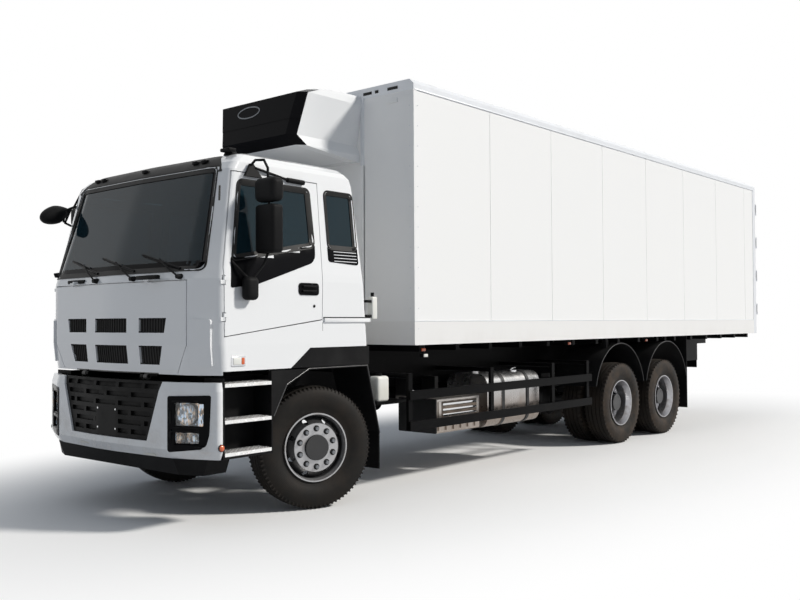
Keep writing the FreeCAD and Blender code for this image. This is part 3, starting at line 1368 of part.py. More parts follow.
def build_mudguards():
    lip = arch_lip()
    outer = [(lip_front_y, lip_foot_z)] + lip
    inner = [(lip_front_y + guard_skin, lip_foot_z - overrun), (lip_front_y + guard_skin, lip_front_z),
             (lip_shoulder_y + guard_skin, lip_shoulder_z - guard_skin), (lip_top_y, lip_top_z - guard_skin),
             (lip_rear_y - guard_skin, lip_top_z - guard_skin), (lip_foot_y - guard_skin, lip_foot_z),
             (lip_foot_y - guard_skin, lip_foot_z - overrun)]
    arch = side_prism(outer, guard_inner_x, guard_outer_x).cut(
        side_prism(inner, guard_inner_x - overrun, guard_outer_x + overrun))
    arch = arch.cut(box(guard_inner_x - overrun, guard_outer_x + overrun, lip_front_y - overrun,
                        lip_front_y + guard_skin + overrun, lip_foot_z - overrun, lip_front_z))
    parts = [arch]
    for y in (lip_top_y + overrun, lip_rear_y - overrun):
        parts.append(box(rail_outer_x, guard_inner_x + overrun, y - guard_arm_half, y + guard_arm_half,
                         rail_top_z - guard_arm_height, lip_top_z - guard_skin / 2))
    flap_x = guard_outer_x - flap_width
    parts.append(box(flap_x, guard_outer_x, lip_foot_y - flap_thickness, lip_foot_y, front_flap_bottom_z,
                     lip_foot_z + overrun))
    save("front_mudguards", both_sides(fuse(parts)))

    hanger_points = [y + (bearer_pitch + bearer_width) / 2 for y in bearers()]
    rear = []
    guards = []
    drop = math.degrees(math.asin((rear_axles_y[0] - rear_axles_y[0] + rear_guard_z / 4) / rear_guard_radius))
    for middle_y in (rear_axles_y[0] - rear_guard_ahead, rear_axles_y[1] + rear_guard_behind):
        guard = arc_guard(middle_y, rear_guard_z, rear_guard_radius, 180 - drop, drop, rear_guard_inner_x,
                          guard_outer_x)
        near = min(hanger_points, key=lambda y: abs(y - middle_y))
        rise = math.sqrt(rear_guard_radius ** 2 - (abs(near - middle_y) + guard_hanger_width / 2) ** 2)
        for x in (rear_guard_inner_x, guard_outer_x - 2 * guard_hanger_width):
            hanger = box(x, x + guard_hanger_width, near - guard_hanger_width / 2, near + guard_hanger_width / 2,
                         rear_guard_z + rise - guard_skin / 2, box_bottom_z)
            inside = x_rod(rear_guard_radius - guard_skin / 2, x - overrun, x + guard_hanger_width + overrun, middle_y,
                           rear_guard_z)
            guard = guard.fuse(hanger.cut(inside))
        guards.append(guard.removeSplitter())
    flap_x = guard_outer_x - flap_width * 1.4
    flap = box(flap_x, guard_outer_x, rear_flap_y, rear_flap_y + flap_thickness, rear_flap_bottom_z, box_bottom_z)
    save("rear_mudguards", both_sides(Part.makeCompound(guards + [flap])))


def rounded_block(x0, x1, y0, y1, z0, z1, radius):
    """A block along Y whose long edges are rounded."""
    return rounded_front_prism([(x0, z0), (x1, z0), (x1, z1), (x0, z1)], radius, y0, y1)


def build_side_gear():
    inner_x = tank_outer_x - tank_depth
    top_z = tank_bottom_z + tank_height
    rear_y = tank_front_y + tank_length
    tank = rounded_block(inner_x, tank_outer_x, tank_front_y, rear_y, tank_bottom_z, top_z, tank_corner)
    cap_y = tank_front_y + strap_inset / 2
    cap = z_rod(tank_cap_radius, top_z - tank_cap_height / 2, top_z + tank_cap_height, tank_outer_x - tank_depth / 2, cap_y)
    parts = [tank, cap]
    for y in (tank_front_y + strap_inset, rear_y - strap_inset):
        outer = rounded_block(inner_x - strap_metal, tank_outer_x + strap_metal, y, y + strap_width,
                              tank_bottom_z - strap_metal, top_z + strap_metal, tank_corner + strap_metal)
        bracket = box(rail_outer_x, inner_x - strap_metal / 2, y, y + strap_width, rail_bottom_z - bracket_height * 2,
                      rail_bottom_z + bracket_height)
        parts += [outer, bracket]
    save("fuel_tank", fuse(parts))

    inner_x = battery_outer_x - battery_depth
    battery_rear_y = battery_front_y + battery_length
    top_z = battery_bottom_z + battery_height
    case = rounded_block(inner_x, battery_outer_x - battery_rib_depth, battery_front_y, battery_rear_y,
                         battery_bottom_z, top_z, battery_rib_depth)
    parts = [case]
    pitch = battery_length / battery_rib_count
    for index in range(battery_rib_count):
        y = battery_front_y + pitch * (index + 0.25)
        parts.append(box(battery_outer_x - 3 * battery_rib_depth, battery_outer_x, y, y + pitch / 2,
                         battery_bottom_z + battery_rib_depth * 2, top_z - battery_rib_depth * 2))
    for y in (battery_front_y + pitch, battery_rear_y - pitch - strap_width):
        parts.append(side_bracket(inner_x, y, top_z))
    save("battery_box", fuse(parts))

    tanks = []
    for index in range(2):
        x = -(air_tank_x + index * air_tank_spacing)
        body = y_rod(air_tank_radius, air_tank_front_y, air_tank_front_y + air_tank_length, x, air_tank_z)
        ends = [e for e in body.Edges if abs(e.Length - 2 * math.pi * air_tank_radius) < seat_gap]
        tanks.append(body.makeFillet(air_tank_radius / 3, ends))
    for y in (air_tank_front_y + strap_inset, air_tank_front_y + air_tank_length - strap_inset):
        tanks.append(box(-air_tank_x - air_tank_spacing, -rail_outer_x, y, y + strap_width, rail_bottom_z,
                         rail_bottom_z + strap_metal * 2))
    save("air_tanks", fuse(tanks))

    post_shares = (0.01, 0.397, 0.752, 0.985)
    length = side_guard_rear_y - side_guard_front_y
    inner = side_guard_x - guard_rail_thickness
    rails = [box(inner, side_guard_x, side_guard_front_y, side_guard_rear_y, z - guard_rail_height / 2,
                 z + guard_rail_height / 2) for z in (upper_rail_z, lower_rail_z)]
    for share in post_shares:
        y = side_guard_front_y + length * share - guard_post_width / 2
        y = max(y, side_guard_front_y)
        rails.append(box(inner - guard_post_thickness, inner, y, y + guard_post_width, lower_rail_z - guard_rail_height / 2,
                         guard_arm_z + guard_arm_radius))
        rails.append(x_rod(guard_arm_radius, rail_outer_x, inner, y + guard_post_width / 2, guard_arm_z))
    save("side_guards", both_sides(fuse(rails)))


def side_bracket(inner_x, y, top_z):
    """An arm from the frame rail over the top of a box that hangs beside it."""
    return box(rail_outer_x, inner_x + overrun, y, y + strap_width, top_z - overrun, rail_bottom_z + bracket_height)


def build_box():
    front = box_front_y
    floor = box(-wall_inner_x, wall_inner_x, front, rear_frame_y, box_bottom_z, floor_top_z)
    save("box_floor", floor)

    wall = box(-wall_inner_x, wall_inner_x, front, front + box_wall, floor_top_z, roof_bottom_z)
    extra = []
    for side in (-1, 1):
        low, high = sorted((side * pilaster_x, side * (pilaster_x + pilaster_width)))
        extra.append(box(low, high, front - pilaster_depth, front, floor_top_z, unit_bottom_z - overrun))
        low, high = sorted((side * vent_x, side * (vent_x + vent_width)))
        extra.append(box(low, high, front - vent_depth, front, vent_z, vent_z + vent_height))
    save("box_front_wall", fuse([wall] + extra))

    skin_x = half_box - side_rail_proud
    side = box(wall_inner_x, skin_x, front, rear_frame_y, box_bottom_z, roof_bottom_z)
    sill = box(skin_x - side_rail_proud, half_box, front, rear_frame_y, box_bottom_z, box_bottom_z + side_rail_height)
    post = box(skin_x - side_rail_proud, half_box, front, front + box_wall * 0.6, box_bottom_z, roof_bottom_z)
    side = fuse([side, sill, post])
    joints = []
    y = front + panel_joint_first
    while y < rear_frame_y:
        joints.append(box(skin_x - panel_groove_depth, half_box + overrun, y - panel_groove_width / 2,
                          y + panel_groove_width / 2, box_bottom_z + side_rail_height, roof_bottom_z))
        y += panel_joint_pitch
    side = side.cut(joints)
    save("box_side_left", side)
    save("box_side_right", mirrored(side))

    roof_outline = [(-half_box, roof_bottom_z), (half_box, roof_bottom_z), (half_box, box_top_z - roof_edge_chamfer),
                    (half_box - roof_edge_chamfer, box_top_z), (-half_box + roof_edge_chamfer, box_top_z),
                    (-half_box, box_top_z - roof_edge_chamfer)]
    save("box_roof", front_prism(roof_outline, front, rear_frame_y))

    outline = [(-half_box, box_bottom_z), (half_box, box_bottom_z), (half_box, box_top_z - roof_edge_chamfer),
               (half_box - roof_edge_chamfer, box_top_z), (-half_box + roof_edge_chamfer, box_top_z),
               (-half_box, box_top_z - roof_edge_chamfer)]
    ring = front_prism(outline, rear_frame_y, box_rear_y)
    door_half = half_box - rear_frame_post
    door_low = box_bottom_z + rear_sill_height
    door_high = box_top_z - rear_header_height
    ring = ring.cut(box(-door_half, door_half, rear_frame_y - overrun, box_rear_y + overrun, door_low, door_high))
    parts = [ring]
    for side in (-1, 1):
        for z in rear_hinge_levels():
            parts += rear_hinge_fixed(side, z)
    lamps = []
    for side in (-1, 1):
        low, high = sorted((side * (half_box - overrun), side * (half_box - overrun - tail_lamp_width)))
        mid_z = box_bottom_z + rear_sill_height / 2
        lamps.append(box(low, high, box_rear_y - overrun, box_rear_y + tail_lamp_depth, mid_z - tail_lamp_height / 2,
                         mid_z + tail_lamp_height / 2))
    save("box_rear_frame", fuse(parts + lamps))
    for side, word in ((1, "left"), (-1, "right")):
        save("rear_door_" + word, rear_door(side, door_half, door_low, door_high))


def rear_hinge_levels():
    """Heights of the rear door hinges, evenly spread."""
    low = box_bottom_z + rear_sill_height
    height = box_height - rear_sill_height - rear_header_height
    return [low + height * (index + 0.5) / rear_hinge_count for index in range(rear_hinge_count)]


def rear_hinge_y():
    return box_rear_y + rear_hardware_reach - rear_hinge_radius


def rear_hinge_fixed(side, z):
    """Two lugs on the rear frame and the pin between them."""
    x = side * rear_hinge_x
    y = rear_hinge_y()
    half = rear_hinge_length / 2
    parts = [z_rod(rear_hinge_pin, z - half - rear_hinge_lug, z + half + rear_hinge_lug, x, y)]
    for start in (z - half - rear_hinge_lug, z + half):
        low = start if start < z else start + lug_gap
        high = start + rear_hinge_lug if start > z else start + rear_hinge_lug - lug_gap
        parts.append(z_rod(rear_hinge_radius, low, high, x, y))
        inner, outer = sorted((side * (rear_hinge_x - 3 * rear_hinge_radius), side * rear_hinge_x))
        parts.append(box(inner, outer, box_rear_y - seat_gap, y, low, high))
    return parts


def rear_door(side, door_half, door_low, door_high):
    """One rear door: an insulated panel with hinge straps, and two lock bars in their guides."""
    gap = seam_gap
    inner, outer = sorted((side * gap / 2, side * (door_half - gap)))
    face_y = box_rear_y
    panel = box(inner, outer, face_y - rear_door_thickness, face_y, door_low + gap, door_high - gap)
    parts = [panel]
    y = rear_hinge_y()
    for z in rear_hinge_levels():
        half = rear_hinge_length / 2
        barrel = z_rod(rear_hinge_radius, z - half, z + half, side * rear_hinge_x, y)
        strap_start = side * rear_hinge_x
        low, high = sorted((strap_start, side * (rear_hinge_x - rear_hinge_plate_length)))
        strap = box(low, high, y - rear_hinge_radius + rear_hinge_plate, y, z - half, z + half)
        low, high = sorted((side * (door_half - 2 * gap), side * (rear_hinge_x - rear_hinge_plate_length)))
        pad = box(low, high, face_y - seat_gap, y, z - half, z + half)
        hinge = barrel.fuse([strap, pad])
        parts.append(hinge.cut(z_rod(rear_hinge_pin + pin_clearance, z - rear_hinge_length, z + rear_hinge_length,
                                     side * rear_hinge_x, y)))
    bar_y = face_y + lock_bar_gap
    for x in (side * lock_bar_inset_x, side * (door_half - 2 * lock_bar_inset_x)):
        parts.append(z_rod(lock_bar_radius, door_low + 2 * gap, door_high - 2 * gap, x, bar_y))
        for share in (0.08, 0.36, 0.64, 0.92):
            z = door_low + (door_high - door_low) * share
            parts.append(box(x - 2 * lock_bar_radius, x + 2 * lock_bar_radius, face_y - seat_gap, bar_y, z - overrun / 2,
                             z + overrun / 2))
    return fuse(parts)


# Cooling unit
# Each row: share of the unit's height, share of its half width, share of its depth at which its front face stands.
unit_section_shares = (
    (0.0, 0.94, 0.86),
    (0.10, 0.955, 0.10),
    (0.25, 0.88, 0.0),
    (0.86, 1.0, 0.085),
    (0.96, 0.98, 0.30),
    (1.0, 0.96, 0.60),
)


def build_cooling_unit():
    depth = box_front_y - unit_front_y
    wires = []
    for z_share, half_share, front_share in unit_section_shares:
        z = unit_bottom_z + unit_height * z_share
        half = unit_half_width * half_share
        y = unit_front_y + depth * front_share
        points = [Vector(-half, box_front_y, z), Vector(half, box_front_y, z), Vector(half, y + unit_side_inset, z),
                  Vector(half - unit_side_inset, y, z), Vector(-half + unit_side_inset, y, z),
                  Vector(-half, y + unit_side_inset, z)]
        wires.append(Part.makePolygon(points + [points[0]]))
    save("cooling_unit", Part.makeLoft(wires, True, True))


if __name__ == "__main__":
    os.makedirs("parts", exist_ok=True)
    build_cab()
    build_mirrors()
    build_wheels()
    build_axles()
    build_frame()
    build_front_end()
    build_arch_trims()
    build_mudguards()
    build_side_gear()
    build_box()
    build_cooling_unit()
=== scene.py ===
import json
from math import cos, pi, radians, sin

import bmesh
import bpy
from mathutils import Matrix, Vector
from mathutils.bvhtree import BVHTree


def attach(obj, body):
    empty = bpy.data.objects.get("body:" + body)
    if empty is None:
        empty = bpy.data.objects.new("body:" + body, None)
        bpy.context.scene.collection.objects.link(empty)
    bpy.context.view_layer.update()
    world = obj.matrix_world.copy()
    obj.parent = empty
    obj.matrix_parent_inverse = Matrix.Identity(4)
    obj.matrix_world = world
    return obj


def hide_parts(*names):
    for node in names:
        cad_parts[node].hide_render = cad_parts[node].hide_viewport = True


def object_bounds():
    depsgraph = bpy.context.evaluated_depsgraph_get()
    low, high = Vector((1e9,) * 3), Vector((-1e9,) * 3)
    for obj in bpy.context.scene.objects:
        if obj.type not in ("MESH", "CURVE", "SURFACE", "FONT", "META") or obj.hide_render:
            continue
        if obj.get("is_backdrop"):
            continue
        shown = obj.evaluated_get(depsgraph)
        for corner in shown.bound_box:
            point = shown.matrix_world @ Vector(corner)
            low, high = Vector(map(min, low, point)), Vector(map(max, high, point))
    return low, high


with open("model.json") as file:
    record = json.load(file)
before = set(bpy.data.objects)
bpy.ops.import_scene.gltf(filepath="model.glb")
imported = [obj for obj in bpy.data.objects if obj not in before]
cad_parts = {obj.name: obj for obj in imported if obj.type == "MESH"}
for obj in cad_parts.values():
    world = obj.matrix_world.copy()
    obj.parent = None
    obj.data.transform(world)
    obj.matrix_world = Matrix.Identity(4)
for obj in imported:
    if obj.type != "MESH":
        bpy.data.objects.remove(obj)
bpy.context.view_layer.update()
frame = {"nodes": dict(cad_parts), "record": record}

nodes = frame["nodes"]
print("frame loaded:", len(nodes), "nodes")

# The front axle stands at this Y, and the places below are counted back from it.
axleY = -4.5515
sides = ((1, "left"), (-1, "right"))


# camera, light and floor
view = {
    "place": (6.8938, -10.2417, 1.6264),
    "yaw": 40.382,
    "pitch": 1.374,
    "roll": -0.292,
    "lens": 41.096,
    "sensor": 36.0,
    "reach": 200.0,
}


def makeCamera():
    data = bpy.data.cameras.new("camera")
    data.lens = view["lens"]
    data.sensor_width = view["sensor"]
    data.clip_end = view["reach"]
    camera = bpy.data.objects.new("camera", data)
    bpy.context.scene.collection.objects.link(camera)
    turn = (Matrix.Rotation(radians(view["yaw"]), 4, "Z") @ Matrix.Rotation(radians(90 + view["pitch"]), 4, "X")
            @ Matrix.Rotation(radians(view["roll"]), 4, "Z"))
    camera.matrix_world = Matrix.Translation(view["place"]) @ turn
    bpy.context.scene.camera = camera


light = {
    "sun": 3.35,
    "sunSoftness": 7.0,
    "fillSoftness": 60.0,
    "sunFrom": (1.0, 0.72, 0.90),
    "fill": 0.04,
    "fillFrom": (0.1, -1.0, 0.35),
    "sky": 0.30,
    "skyColour": (0.77, 0.87, 1.0, 1.0),
    "sunColour": (1.0, 0.965, 0.91),
    "floorSeen": (0.86, 0.86, 0.86, 1.0),
    "floorFade": (2.3, 4.6),
    "floorBounce": (0.43, 0.44, 0.46, 1.0),
}


def sunLamp(name, strength, source, softness, colour=(1.0, 1.0, 1.0)):
    data = bpy.data.lights.new(name, "SUN")
    data.energy = strength
    data.angle = radians(softness)
    data.color = colour
    lamp = bpy.data.objects.new(name, data)
    bpy.context.scene.collection.objects.link(lamp)
    lamp.rotation_euler = Vector(source).to_track_quat("Z", "Y").to_euler()


# shader nodes as Python sums
class Wire:
    # one output of a material's nodes

    def __init__(self, tree, socket):
        self.tree = tree
        self.socket = socket

    def node(self, kind, settings=None, inputs=None, output=0):
        made = self.tree.nodes.new(kind)
        for name, value in (settings or {}).items():
            if name == "stops":
                ramp = made.color_ramp
                while len(ramp.elements) < len(value):
                    ramp.elements.new(0.5)
                for element, (place, colour) in zip(ramp.elements, value):
                    element.position = place
                    element.color = colour
            else:
                setattr(made, name, value)
        for key, value in (inputs or {}).items():
            if isinstance(value, Wire):
                self.tree.links.new(value.socket, made.inputs[key])
            else:
                made.inputs[key].default_value = value
        return Wire(self.tree, made.outputs[output])

    def maths(self, operation, *values):
        return self.node("ShaderNodeMath", {"operation": operation}, dict(enumerate(values)))

    def alone(self, operation):
        return self.maths(operation, self)

    def __add__(self, other):
        return self.maths("ADD", self, other)

    def __radd__(self, other):
        return self.maths("ADD", other, self)

    def __sub__(self, other):
        return self.maths("SUBTRACT", self, other)

    def __rsub__(self, other):
        return self.maths("SUBTRACT", other, self)

    def __mul__(self, other):
        return self.maths("MULTIPLY", self, other)

    def __rmul__(self, other):
        return self.maths("MULTIPLY", other, self)

    def __truediv__(self, other):
        return self.maths("DIVIDE", self, other)

    def __lt__(self, other):
        return self.maths("LESS_THAN", self, other)

    def __gt__(self, other):
        return self.maths("GREATER_THAN", self, other)


def mixColours(wire, factor, first, second):
    return wire.node("ShaderNodeMix", {"data_type": "RGBA"}, {0: factor, 6: first, 7: second}, 2)


def between(wire, low, high):
    # 0 below low, 1 above high and a smooth rise in between
    return wire.node("ShaderNodeMapRange", {"interpolation_type": "SMOOTHSTEP"}, {0: wire, 1: low, 2: high})


def noise(place, scale, detail=3.0, roughness=0.5):
    return place.node("ShaderNodeTexNoise", {}, {"Vector": place, "Scale": scale, "Detail": detail,
                                                 "Roughness": roughness})


def bump(wire, height, distance, strength=1.0):
    return wire.node("ShaderNodeBump", {}, {"Height": height, "Distance": distance, "Strength": strength})


def axes(place):
    split = place.node("ShaderNodeSeparateXYZ", {}, {0: place})
    parts = split.socket.node
    return [Wire(place.tree, parts.outputs[index]) for index in range(3)]


def stretched(place, scale):
    return place.node("ShaderNodeMapping", {}, {"Vector": place, "Scale": scale})


def finish(name, build, **fixed):
    # a Principled material: fixed values go on its own sockets, and build adds what varies over the surface
    material = bpy.data.materials.new(name)
    material.use_nodes = True
    tree = material.node_tree
    shader = tree.nodes["Principled BSDF"]
    for socket, value in fixed.items():
        shader.inputs[socket].default_value = value
    coordinates = tree.nodes.new("ShaderNodeTexCoord")
    place = Wire(tree, coordinates.outputs["Object"])
    for socket, wire in build(place).items():
        tree.links.new(wire.socket, shader.inputs[socket])
    return material


def twoTone(first, second, roughness, cloud, stretch=None, edges=None, share=None, grain=None, depth=None):
    # a finish that drifts between two colours and gets rougher on the way; depth gives it a bump, from its grain
    # or else from the drift itself
    def build(place):
        drift = noise(stretched(place, stretch) if stretch else place, *cloud)
        if edges:
            drift = between(drift, *edges)
        look = {"Base Color": mixColours(place, drift * share if share else drift, first, second),
                "Roughness": roughness[0] + drift * roughness[1]}
        if depth:
            look["Normal"] = bump(place, noise(place, *grain) if grain else drift, *depth)
        return look
    return build


# finishes
paint = {
    "white": (0.80, 0.81, 0.82, 1.0),
    "dust": (0.42, 0.36, 0.29, 1.0),
    "boxWhite": (0.85, 0.85, 0.845, 1.0),
    "profile": (0.72, 0.74, 0.77, 1.0),
    "plastic": (0.008, 0.008, 0.0085, 1.0),
    "chassis": (0.004, 0.004, 0.0043, 1.0),
}
grille = {
    "rows": ((1.548, 1.668, 0.7165, 0.742), (1.290, 1.443, 0.640, 0.691)),
    "middleHalf": 0.238,
    "outerStart": 0.398,
}


def paintedCab(place):
    x, y, z = axes(place)
    cloud = noise(place, 1.6, 4.0)
    low = 1.0 - between(z, 0.45, 1.35)
    dirt = low * between(noise(place, 9.0, 6.0, 0.6), 0.40, 0.75) * 0.34
    colour = mixColours(place, cloud * 0.06, paint["white"], (0.70, 0.72, 0.74, 1.0))
    return {"Base Color": mixColours(place, dirt, colour, paint["dust"]),
            "Roughness": 0.16 + cloud * 0.07 + dirt * 0.6,
            "Normal": bump(place, noise(place, 260.0, 1.0), 0.0002, 0.25)}


def frontFramePaint(place):
    # painted like the cab, with the tilt arms under it black
    x, y, z = axes(place)
    side = x.alone("ABSOLUTE")
    arms = (z < 1.225) * (side < 0.62)
    look = paintedCab(place)
    look["Base Color"] = mixColours(place, arms, look["Base Color"], paint["chassis"])
    look["Roughness"] = look["Roughness"] + arms * 0.3
    look["Coat Weight"] = 0.6 - arms * 0.6
    return look


def panelPaint(place):
    # the lifting panel: its six openings are dark right through
    x, y, z = axes(place)
    side = x.alone("ABSOLUTE")
    dark = side * 0.0
    for low, high, lowEnd, highEnd in grille["rows"]:
        end = lowEnd + (z - low) * ((highEnd - lowEnd) / (high - low))
        across = (side < grille["middleHalf"]) + (side > grille["outerStart"]) * (side < end)
        dark = dark + (z > low) * (z < high) * across
    look = paintedCab(place)
    look["Base Color"] = mixColours(place, dark, look["Base Color"], (0.003, 0.003, 0.0035, 1.0))
    look["Roughness"] = look["Roughness"] + dark * 0.7
    look["Coat Weight"] = 0.6 - dark * 0.6
    return look


def insulatedSkin(place):
    x, y, z = axes(place)
    sheet = noise(stretched(place, (1.0, 0.25, 1.0)), 1.1, 3.0)
    streak = noise(stretched(place, (1.6, 1.6, 0.5)), 2.0, 4.0, 0.6)
    rail = z < 1.632
    dirt = (1.0 - between(z, 1.36, 1.66)) * between(streak, 0.35, 0.8) * 0.10 + rail * 0.10
    colour = mixColours(place, sheet * 0.10, paint["boxWhite"], (0.72, 0.75, 0.78, 1.0))
    return {"Base Color": mixColours(place, dirt, colour, paint["dust"]),
            "Roughness": 0.34 + sheet * 0.12,
            "Normal": bump(place, sheet + noise(place, 55.0, 2.0) * 0.03, 0.0025, 0.3)}


def edgeProfile(place):
    drawn = noise(stretched(place, (30.0, 0.6, 30.0)), 6.0, 2.0)
    stain = noise(place, 5.0, 5.0, 0.6)
    return {"Base Color": mixColours(place, between(stain, 0.45, 0.8) * 0.25, paint["profile"],
                                     (0.50, 0.51, 0.52, 1.0)),
            "Roughness": 0.32 + drawn * 0.16,
            "Normal": bump(place, drawn, 0.0005, 0.3)}


def grainedPlastic(place):
    grain = noise(place, 420.0, 2.0)
    fade = noise(place, 3.0, 4.0)
    return {"Base Color": mixColours(place, between(fade, 0.40, 0.75) * 0.5, paint["plastic"],
                                     (0.022, 0.022, 0.022, 1.0)),
            "Roughness": 0.42 + fade * 0.2,
            "Normal": bump(place, grain, 0.0006, 0.45)}


def chassisPaint(place):
    x, y, z = axes(place)
    dust = between(noise(place, 5.0, 6.0, 0.62), 0.50, 0.75) * (0.10 + 0.30 * (1.0 - between(z, 0.2, 0.9)))
    return {"Base Color": mixColours(place, dust * 0.25, paint["chassis"], (0.09, 0.079, 0.067, 1.0)),
            "Roughness": 0.34 + dust * 0.45,
            "Normal": bump(place, noise(place, 90.0, 3.0), 0.0006, 0.3)}


tank = {
    "straps": (2.974, 3.473),
    "strapHalf": 0.034,
}
battery = {
    "front": 1.700,
    "rear": 2.460,
    "side": 1.100,
    "top": 0.832,
    "window": (1.775, 2.390, 0.622, 0.800),
    "bars": (0.772, 0.716, 0.664),
    "bar": 0.011,
}


def brushedTank(place):
    x, y, z = axes(place)
    rings = noise(stretched(place, (2.0, 160.0, 2.0)), 5.0, 3.0)
    stain = between(noise(place, 6.0, 6.0, 0.6), 0.45, 0.8)
    # low: the lower part turns brown, a painted reflection of the ground; the same brown also carries the stains
    low = 1.0 - between(z, 0.55, 0.95)
    strap = x * 0.0
    for middle in tank["straps"]:
        away = y - (middle + axleY)
        strap = strap + (away.alone("ABSOLUTE") < tank["strapHalf"])
    colour = mixColours(place, stain * 0.2 + low * 0.7, (0.50, 0.50, 0.50, 1.0), (0.27, 0.20, 0.15, 1.0))
    return {"Base Color": mixColours(place, strap, colour, (0.010, 0.010, 0.011, 1.0)),
            "Metallic": 1.0 - strap,
            "Roughness": 0.20 + rings * 0.14 + stain * 0.16 + strap * 0.2,
            "Normal": bump(place, rings, 0.0004, 0.35)}


def pressedMetal(place):
    # bright cover on a black box; the cover's lower part is painted brown, a painted reflection of the ground, and the
    # same brown carries its stains
    x, y, z = axes(place)
    stain = between(noise(place, 3.0, 5.0, 0.55), 0.42, 0.78)
    cover = (y > battery["front"] + axleY + 0.014) * (z < battery["top"])
    # low: painted reflection of the ground, brown towards the bottom
    low = 1.0 - between(z, 0.50, 0.80)
    colour = mixColours(place, stain * 0.3 + low * 0.5, (0.52, 0.49, 0.46, 1.0), (0.28, 0.21, 0.16, 1.0))
    return {"Base Color": mixColours(place, cover, paint["plastic"], colour),
            "Metallic": cover * 0.9,
            "Roughness": 0.30 + stain * 0.15,
            "Normal": bump(place, noise(place, 60.0, 2.0), 0.0003, 0.2)}


def treadPlate(place):
    x, y, z = axes(place)
    chequer = (x * 260.0).alone("SINE") * (y * 260.0).alone("SINE")
    worn = between(chequer, 0.1, 0.5)
    return {"Base Color": mixColours(place, worn, (0.30, 0.29, 0.28, 1.0), (0.82, 0.82, 0.81, 1.0)),
            "Roughness": 0.42 - worn * 0.18,
            "Normal": bump(place, chequer, 0.002, 0.8)}


def reflectorMetal(place):
    # faceted bright metal whose base colour is painted reflection: brown ground and blue sky on its facets, and dark
    # patches
    x, y, z = axes(place)
    facet = noise(stretched(place, (34.0, 34.0, 14.0)), 1.0, 2.0, 0.6)
    # painted reflection: facets tinted brown for the ground and blue for the sky
    paintedReflection = mixColours(place, between(facet, 0.42, 0.58), (0.62, 0.47, 0.35, 1.0), (0.50, 0.60, 0.72, 1.0))
    # dark patches: painted reflections of dark surroundings
    dark = between(noise(stretched(place, (60.0, 60.0, 22.0)), 1.0, 1.0), 0.52, 0.60)
    ribs = (x * 420.0).alone("SINE")
    return {"Base Color": mixColours(place, dark * 0.75, paintedReflection, (0.06, 0.07, 0.08, 1.0)),
            "Roughness": 0.10 + dark * 0.1,
            "Normal": bump(place, ribs * 0.4 + facet, 0.002, 0.6)}


def milkyPlastic(place):
    x, y, z = axes(place)
    fill = 1.0 - between(z + noise(place, 8.0, 3.0) * 0.1, 1.0, 1.1)
    return {"Base Color": mixColours(place, fill * 0.4, (0.74, 0.74, 0.70, 1.0), (0.60, 0.58, 0.50, 1.0)),
            "Roughness": 0.36 + fill * 0.1}


def wovenCloth(place):
    x, y, z = axes(place)
    weave = (x * 900.0).alone("SINE") + (z * 900.0).alone("SINE") + (y * 900.0).alone("SINE")
    wear = noise(place, 8.0, 4.0)
    return {"Base Color": mixColours(place, wear, (0.045, 0.047, 0.052, 1.0), (0.085, 0.087, 0.092, 1.0)),
            "Roughness": 0.80 + wear * 0.12,
            "Normal": bump(place, weave, 0.0006, 0.5)}


def wheelAxes(place, centre, turn):
    # the wheel's own frame: x along its axle, and how far out from it
    own = place.node("ShaderNodeMapping", {"vector_type": "TEXTURE"},
                     {"Vector": place, "Location": centre, "Rotation": (0.0, 0.0, turn)})
    x, y, z = axes(own)
    return own, x, (y * y + z * z).alone("SQRT")


def tyreRubber(centre, turn, dusty):
    def build(place):
        own, x, radius = wheelAxes(place, centre, turn)
        ribs = (radius * 520.0).alone("SINE") * (1.0 - between(radius, 0.455, 0.47))
        dust = between(noise(own, 5.0, 6.0, 0.6), 0.30, 0.80) * dusty
        tread = between(radius, 0.505, 0.528)
        colour = mixColours(place, dust, (0.009, 0.0085, 0.008, 1.0), (0.110, 0.078, 0.055, 1.0))
        return {"Base Color": mixColours(place, tread * 0.7, colour, (0.016, 0.014, 0.012, 1.0)),
                "Roughness": 0.60 + dust * 0.25,
                "Normal": bump(place, ribs * 0.25 + noise(own, 130.0, 3.0) * 0.4, 0.0012, 0.5)}
    return build


def frontRimSteel(centre, turn):
    # black hub, bright nut ring, dark slope with its vents and a bright lip
    def build(place):
        own, x, radius = wheelAxes(place, centre, turn)
        bright = between(radius, 0.110, 0.114) * (1.0 - between(radius, 0.207, 0.215))
        lip = between(radius, 0.270, 0.280)
        metal = bright + lip
        spot = between(noise(own, 9.0, 6.0, 0.62), 0.45, 0.75)
        shine = mixColours(place, spot * 0.45, (0.42, 0.42, 0.43, 1.0), (0.17, 0.14, 0.12, 1.0))
        return {"Base Color": mixColours(place, metal, (0.020, 0.020, 0.021, 1.0), shine),
                "Metallic": metal * 0.8,
                "Roughness": 0.36 + spot * 0.2,
                "Normal": bump(place, noise(own, 120.0, 3.0), 0.0005, 0.35)}
    return build


def rearRimSteel(centre, turn):
    # bright dish lining with a dark disc deep inside
    def build(place):
        own, x, radius = wheelAxes(place, centre, turn)
        lining = between(radius, 0.238, 0.250)
        spot = between(noise(own, 10.0, 6.0, 0.62), 0.45, 0.75)
        shine = mixColours(place, spot * 0.7, (0.46, 0.46, 0.48, 1.0), (0.17, 0.13, 0.10, 1.0))
        return {"Base Color": mixColours(place, lining, (0.022, 0.022, 0.023, 1.0), shine),
                "Metallic": lining * 0.9,
                "Roughness": 0.28 + spot * 0.28,
                "Normal": bump(place, noise(own, 150.0, 3.0), 0.0004, 0.3)}
    return build


